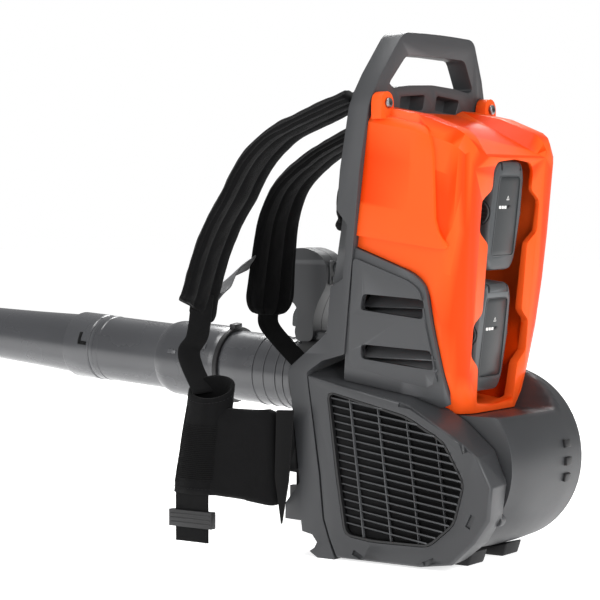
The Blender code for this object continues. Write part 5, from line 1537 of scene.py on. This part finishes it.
@dataclass
class WebbingBand:
    """One free run of webbing in the harness."""

    name: str
    line: tuple[Point, ...]
    across: tuple[Point, ...]
    width: float
    stands_for: tuple[str, ...] = ()
    finish: Finish = WEBBING
    thickness: float = 0.0022
    held: str = "hung"
    rests_on: tuple[str, ...] = ()

    def build(self) -> None:
        """Build the band and its edge stitches."""
        frames = facing_frames(self.line, self.across)
        band = add_object(self.name, ribbon(frames, self.width, self.thickness))
        hand_over(band, self.finish, "machine", self.stands_for)
        rows = [[item.at + item.across * side * (0.5 * self.width - 0.0030) + item.out * 0.5 * self.thickness
                 for item in frames] for side in (-1, 1)]
        edge = repeated_along(f"{self.name}_edge_threads", rows, THREAD, 0.0036, (0.0006, 0.0004, 0.0026),
                              True)
        hand_over(edge, THREAD, "machine")


CLOTH_FRAMES = 14  # frames that a pad swells for


def puffed(obj: Object, voxel: float, pressure: float, reach: float) -> Object:
    """Fill a padded cover by a short cloth simulation, so that it swells between its edges.

    Args:
        obj: a closed, flat pad.
        voxel: the cover's mesh step in metres.
        pressure: the filling pressure.
        reach: the most that any point may move, in metres.

    Returns:
        The same piece, swollen.
    """
    remesh = obj.modifiers.new("remesh", "REMESH")
    remesh.mode = "VOXEL"
    remesh.voxel_size = voxel
    settle(obj)
    rest = np.empty(len(obj.data.vertices) * 3)
    obj.data.vertices.foreach_get("co", rest)
    cloth = obj.modifiers.new("cloth", "CLOTH")
    for setting, value in (
        ("quality", 6), ("mass", 0.2), ("tension_stiffness", 30.0), ("compression_stiffness", 12.0),
        ("shear_stiffness", 8.0), ("bending_stiffness", 0.8), ("use_pressure", True),
        ("uniform_pressure_force", pressure),
    ):
        setattr(cloth.settings, setting, value)
    cloth.settings.effector_weights.gravity = 0.0
    cloth.collision_settings.use_collision = False
    for step in range(1, CLOTH_FRAMES + 1):
        bpy.context.scene.frame_set(step)
    settle(obj)
    bpy.context.scene.frame_set(1)
    moved = np.empty_like(rest)
    obj.data.vertices.foreach_get("co", moved)
    shift = (moved - rest).reshape(-1, 3)
    size = np.linalg.norm(shift, axis=1, keepdims=True)
    shift *= np.minimum(1.0, reach / np.maximum(size, 1e-9))
    obj.data.vertices.foreach_set("co", (rest.reshape(-1, 3) + shift).ravel())
    smooth = obj.modifiers.new("smooth", "SUBSURF")
    smooth.levels = 1
    smooth.render_levels = 1
    settle(obj)
    obj.data.shade_smooth()
    return obj


def flat_uv(obj: Object, first: int, second: int) -> None:
    """Lay a UV map over a piece from two of its axes, in metres, so that a weave follows it."""
    layer = obj.data.uv_layers.new(name="UVMap")
    co = np.empty(len(obj.data.vertices) * 3)
    obj.data.vertices.foreach_get("co", co)
    co = co.reshape(-1, 3)
    index = np.empty(len(obj.data.loops), dtype=np.int32)
    obj.data.loops.foreach_get("vertex_index", index)
    layer.data.foreach_set("uv", co[index][:, [first, second]].ravel())


@dataclass
class BackPad:
    """Quilted pad between the frame and the wearer's back."""

    thickness: float = 0.0150
    grooves: tuple[float, ...] = (0.405, 0.350, 0.295)
    groove_width: float = 0.0042
    groove_depth: float = 0.0050

    def build(self) -> None:
        """Build the swollen pad with its three quilting grooves."""
        pad = add_object("back_cushion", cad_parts["back_pad"].data.copy())
        pad.data.materials.clear()
        puffed(pad, 0.0045, 3.0, 0.0035)
        for vertex in pad.data.vertices:
            for groove in self.grooves:
                near = math.exp(-((vertex.co.z - groove) / self.groove_width) ** 2)
                if vertex.co.y > frame_rear_y(vertex.co.z) + 0.0235 + 0.5 * self.thickness:
                    vertex.co.y -= self.groove_depth * near
        flat_uv(pad, 0, 2)
        hand_over(pad, MESH_FABRIC, "machine", ["back_pad"])


@dataclass
class HipPad:
    """Hip wing: padded cloth with a folded sleeve at its front end for the belt."""

    side: str
    x: float = 0.1060
    thickness: float = 0.0120
    sleeve_y: Flat = (0.2105, 0.1925)
    sleeve_half: Flat = (0.0125, 0.0310)
    sleeve_z: Flat = (0.0560, 0.1690)
    flap_x: Flat = (0.1126, 0.1150)
    belt_x: float = 0.1135
    belt_y: float = 0.2120

    def build(self) -> None:
        """Build the wing, sleeve, tab, hanging webbing and buckle."""
        sign = -1.0 if self.side == "left" else 1.0
        wing = add_object(f"hip_wing_{self.side}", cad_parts[f"hip_pad_{self.side}"].data.copy())
        wing.data.materials.clear()
        puffed(wing, 0.0042, 3.5, 0.0030)
        for vertex in wing.data.vertices:
            share = (vertex.co.z - self.sleeve_z[0]) / (self.sleeve_z[1] - self.sleeve_z[0])
            front = self.sleeve_y[0] + self.sleeve_half[1] - 0.0240 * min(max(share, 0.0), 1.0)
            vertex.co.y = min(vertex.co.y, front - 0.0040)
            if vertex.co.y > 0.1650:
                vertex.co.z = min(vertex.co.z, 0.1500)
        flat_uv(wing, 1, 2)
        hand_over(wing, PAD_FABRIC, "machine", [f"hip_pad_{self.side}"])
        self.build_sleeve(sign)
        self.build_tab()
        self.build_flap(sign)
        self.build_belt(sign)

    def sleeve_ring(self, sign: float, z: float, grow: float) -> list[Vector]:
        """One ring of the sleeve: a flattened oval, its front end fuller than its rear."""
        points = []
        share = (z - self.sleeve_z[0]) / (self.sleeve_z[1] - self.sleeve_z[0])
        for step in range(56):
            angle = 2 * math.pi * step / 56
            wide = self.sleeve_half[0] * (1.10 + 0.10 * share) + grow
            deep = self.sleeve_half[1] * (1.02 - 0.08 * share) + grow
            middle = self.sleeve_y[0] + share * (self.sleeve_y[1] - self.sleeve_y[0])
            wave = 0.0012 * noise.noise(Vector((math.cos(angle) * 2.0, math.sin(angle) * 2.0, z * 30.0)))
            drop = -0.0110 * sign * math.sin(angle) * share ** 2
            points.append(Vector((
                sign * (self.x - 0.0015) + (wide + wave) * math.sin(angle),
                middle + (deep + wave) * math.cos(angle),
                z + drop)))
        return points

    def build_sleeve(self, sign: float) -> None:
        """The folded sleeve: a soft, open-topped oval with a rolled lip and a dark inside."""
        low, high = self.sleeve_z
        heights = [low + (high - low) * step / 14 for step in range(15)]
        rings = [self.sleeve_ring(sign, z, 0.0) for z in heights]
        rings.append(self.sleeve_ring(sign, high + 0.0016, -0.0010))
        rings.append(self.sleeve_ring(sign, high + 0.0018, -0.0030))
        rings.append(self.sleeve_ring(sign, high - 0.0002, -0.0046))
        rings += [self.sleeve_ring(sign, z, -0.0050) for z in reversed(heights[3:-1])]
        sleeve = add_object(f"hip_sleeve_{self.side}", bridged(rings))
        hand_over(sleeve, PAD_FABRIC, "machine")
        rows = [self.sleeve_ring(sign, high - 0.0050, 0.0003), self.sleeve_ring(sign, low + 0.0060, 0.0003)]
        threads = repeated_along(f"hip_sleeve_stitches_{self.side}", rows, THREAD, STITCH_PITCH, STITCH_SIZE,
                                 True)
        hand_over(threads, THREAD, "machine")
        self.build_patch(sign)

    def build_patch(self, sign: float) -> None:
        """Ribbed hook-and-loop patch on the sleeve's outer side."""
        rows = []
        for index in range(29):
            ring = self.sleeve_ring(sign, 0.0720 + 0.0022 * index, 0.0004)
            start = 34 if sign < 0 else 6
            rows.append(ring[start:start + 17])
        ribs = repeated_along(f"hip_sleeve_patch_{self.side}", rows, WEBBING, 0.0013,
                              (0.0011, 0.0008, 0.0019), False)
        hand_over(ribs, WEBBING, "machine")

    def build_flap(self, sign: float) -> None:
        """Webbing flap that hangs from the rear edge of the wing to a point."""
        outline = [(0.0800, 0.1530), (0.1010, 0.1520), (0.1030, 0.0820), (0.0950, 0.0330), (0.0860, 0.0800)]
        flap = add_object(f"hip_flap_{self.side}", extruded(
            rounded(outline, 0.002), *sorted(sign * x for x in self.flap_x), Along.X))
        soften(flap, 0.0006, 2, 50.0)
        flat_uv(flap, 1, 2)
        hand_over(flap, WEBBING, "machine")

    def build_tab(self) -> None:
        """Stitched tab that joins the wing to the frame."""
        tab = moulded_copy(f"hip_tab_{self.side}", f"hip_wing_tab_{self.side}", 0.0016)
        flat_uv(tab, 1, 2)
        hand_over(tab, WEBBING, "machine", [f"hip_tab_{self.side}"])

    def build_belt(self, sign: float) -> None:
        """Belt webbing that hangs from the sleeve to the floor, and its ladder buckle."""
        x = sign * self.belt_x
        line = tuple((x, self.belt_y, z) for z in (0.0760, 0.0500, 0.0250, 0.0045))
        WebbingBand(f"hip_belt_{self.side}", line, ((0.0, 1.0, 0.0),) * 4, 0.0440,
                    (f"hip_webbing_{self.side}",),
                    rests_on=(f"hip_pad_{self.side}",)).build()
        buckle = moulded_copy(f"hip_buckle_{self.side}", f"hip_ladder_buckle_{self.side}", 0.0012)
        hand_over(buckle, BLACK_NYLON, "machine", [f"hip_buckle_{self.side}"])
        rows = [[Vector((x + sign * 0.0040, 0.1860 + 0.0010 * step, z)) for step in range(53)]
                for z in (0.0245, 0.0290, 0.0335)]
        ribs = repeated_along(f"hip_buckle_ribs_{self.side}", rows, BLACK_NYLON, 0.0009,
                              (0.0010, 0.0010, 0.0010))
        hand_over(ribs, BLACK_NYLON, "machine")


@dataclass
class Harness:
    """Back pad, shoulder straps, chest strap, webbing and hip wings."""

    strap_x: float = 0.0900

    def build(self) -> None:
        """Build the whole harness."""
        BackPad().build()
        left = ((0.0140, 0.4725), (0.0360, 0.4652), (0.0765, 0.4500), (0.1085, 0.4365), (0.1325, 0.4190),
                (0.1495, 0.3995), (0.1665, 0.3720), (0.1870, 0.3420), (0.2050, 0.3040), (0.2195, 0.2587),
                (0.2215, 0.2360))
        right = ((0.0140, 0.4725), (0.0500, 0.4640), (0.1000, 0.4520), (0.1500, 0.4330), (0.1880, 0.4130),
                 (0.2235, 0.3830), (0.2415, 0.3460), (0.2495, 0.3000), (0.2535, 0.2650), (0.2570, 0.2365))
        PaddedStrap("left", tuple((-self.strap_x, y, z) for y, z in left), 0.0, (-0.35, 0.35), 0.016, 0.026,
                    seed=1.7).build()
        PaddedStrap("right", tuple((self.strap_x, y, z) for y, z in right), 0.44, (-0.33, 0.33), 0.026, 0.0,
                    seed=6.1).build()
        self.build_webbing()
        for side in ("left", "right"):
            HipPad(side).build()

    def build_webbing(self) -> None:
        """Adjusting webbing below each strap and the chest strap between them."""
        WebbingBand(
            "shoulder_belt_left", ((-0.0860, 0.2180, 0.2680), (-0.0900, 0.2215, 0.2250),
                                   (-0.0960, 0.2290, 0.2020), (-0.1045, 0.2030, 0.1640)),
            ((0.9, -0.43, 0.0),) * 4, 0.0270, ("shoulder_webbing_left",),
            rests_on=("shoulder_strap_left",)).build()
        WebbingBand(
            "shoulder_belt_right", ((0.0900, 0.2565, 0.2420), (0.0900, 0.2560, 0.2250),
                                    (0.0940, 0.2400, 0.2050), (0.1020, 0.2160, 0.1790)),
            ((0.9, -0.43, 0.0),) * 4, 0.0270, ("shoulder_webbing_right",),
            rests_on=("shoulder_strap_right",)).build()
        WebbingBand(
            "chest_belt", ((-0.0640, 0.2170, 0.2590), (-0.0500, 0.2230, 0.2620), (-0.0200, 0.2400, 0.2700),
                           (0.0150, 0.2520, 0.2850), (0.0600, 0.2590, 0.2970)),
            ((0.0, 0.60, -0.80), (0.0, 0.70, -0.70), (0.0, 0.95, -0.30), (0.0, 0.80, -0.60),
             (0.0, 0.60, -0.80)), 0.0220,
            ("chest_strap",), WEBBING_PALE, rests_on=("shoulder_strap_left", "shoulder_strap_right")).build()


# ---------------------------------------------------------------- inside pieces, stage, light and camera

@dataclass
class InsidePieces:
    """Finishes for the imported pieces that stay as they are, behind the covers."""

    finishes: dict[str, Finish] = field(default_factory=lambda: {
        "battery_dock": BLACK_NYLON, "terminal_block_upper": BLACK_NYLON, "terminal_block_lower": BLACK_NYLON,
        "controller": BLACK_NYLON, "fan_motor": GREY_HOUSING, "motor_bearing_front": STEEL,
        "motor_bearing_rear": STEEL, "fan_shaft": STEEL, "impeller": BLACK_NYLON,
    })

    def build(self) -> None:
        """Dress each of them."""
        for node, finish in self.finishes.items():
            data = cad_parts[node].data
            data.materials.clear()
            data.materials.append(finish.material())
            LOG.info("%s kept as packed", node)


@dataclass
class Studio:
    """Plain pale floor and backdrop, soft lights and the camera."""

    position: Point = (-1.885, -1.150, 0.373)
    right: Point = (0.5678, -0.8231, 0.0)
    back: Point = (-0.8221, -0.5672, 0.0494)
    lens: float = 126.24
    floor_glow: float = 0.68
    sky_light: float = 0.36
    sky_seen: float = 1.0

    def build(self) -> None:
        """Set the stage."""
        self.build_floor()
        self.build_lights()
        self.build_camera()
        bpy.context.scene.view_settings.view_transform = "Standard"

    def build_floor(self) -> None:
        """A flat pale floor, with a white world behind it as the backdrop."""
        backdrop = bpy.data.materials.new("white_studio_sweep")
        backdrop.use_nodes = True
        shader = backdrop.node_tree.nodes["Principled BSDF"]
        shader.inputs["Base Color"].default_value = linear("F6F6F6")
        shader.inputs["Roughness"].default_value = 0.9
        shader.inputs["Emission Color"].default_value = (1.0, 1.0, 1.0, 1.0)
        shader.inputs["Emission Strength"].default_value = self.floor_glow
        bm = bmesh.new()
        bmesh.ops.create_grid(bm, x_segments=1, y_segments=1, size=9.0)
        mesh = mesh_of(bm, "studio_floor")
        mesh.materials.append(backdrop)
        floor = add_object("studio_floor", mesh)
        world = bpy.data.worlds.new("studio_world")
        world.use_nodes = True
        tree = world.node_tree
        tree.nodes["Background"].inputs["Color"].default_value = (1.0, 1.0, 1.0, 1.0)
        seen = add_node(tree, "ShaderNodeLightPath").outputs["Is Camera Ray"]
        tree.links.new(graded(tree, seen, (0.0, 1.0, self.sky_light, self.sky_seen)),
                       tree.nodes["Background"].inputs["Strength"])
        bpy.context.scene.world = world

    def build_lights(self) -> None:
        """A broad key from the rear left, a top softbox, a rim light along the tube and a fill."""
        for name, spot, target, size, power in (
            ("key_softbox", (-0.9, -2.3, 1.3), (0.0, 0.0, 0.25), 1.3, 50.0),
            ("top_softbox", (-0.2, 0.3, 2.3), (0.0, 0.0, 0.2), 1.0, 24.0),
            ("rim_softbox", (1.3, 0.9, 1.7), (0.17, 0.40, 0.18), 0.9, 34.0),
            ("fill_softbox", (-2.4, 0.9, 1.0), (0.0, 0.1, 0.25), 1.3, 16.0),
        ):
            light = bpy.data.lights.new(name, "AREA")
            light.shape = "SQUARE"
            light.size = size
            light.energy = power
            holder = bpy.data.objects.new(name, light)
            holder.location = spot
            holder.rotation_euler = (Vector(target) - Vector(spot)).to_track_quat("-Z", "Y").to_euler()
            bpy.context.scene.collection.objects.link(holder)

    def build_camera(self) -> None:
        """The camera, set from its own axes."""
        camera = bpy.data.cameras.new("camera")
        camera.lens = self.lens
        camera.sensor_width = 36.0
        holder = bpy.data.objects.new("camera", camera)
        right, back = Vector(self.right).normalized(), Vector(self.back).normalized()
        up = back.cross(right).normalized()
        holder.matrix_world = Matrix.Translation(self.position) @ Matrix((right, up,
                                                                          back)).transposed().to_4x4()
        bpy.context.scene.collection.objects.link(holder)
        bpy.context.scene.camera = holder


def main() -> None:
    """Build every sub-assembly in order."""
    logging.basicConfig(level=logging.INFO, format="%(name)s: %(message)s")
    parts = [BackFrame(), RearCover(), SidePanel("left"), SidePanel("right"), BatteryPack("upper", 1),
             BatteryPack("lower", -1), FanHousing(), Intake(), BlowerTube(), ControlHandle(), Harness(),
             InsidePieces()]
    for part in parts:
        LOG.info("building %s", type(part).__name__)
        part.build()
    Studio().build()


if __name__ == "__main__":
    main()
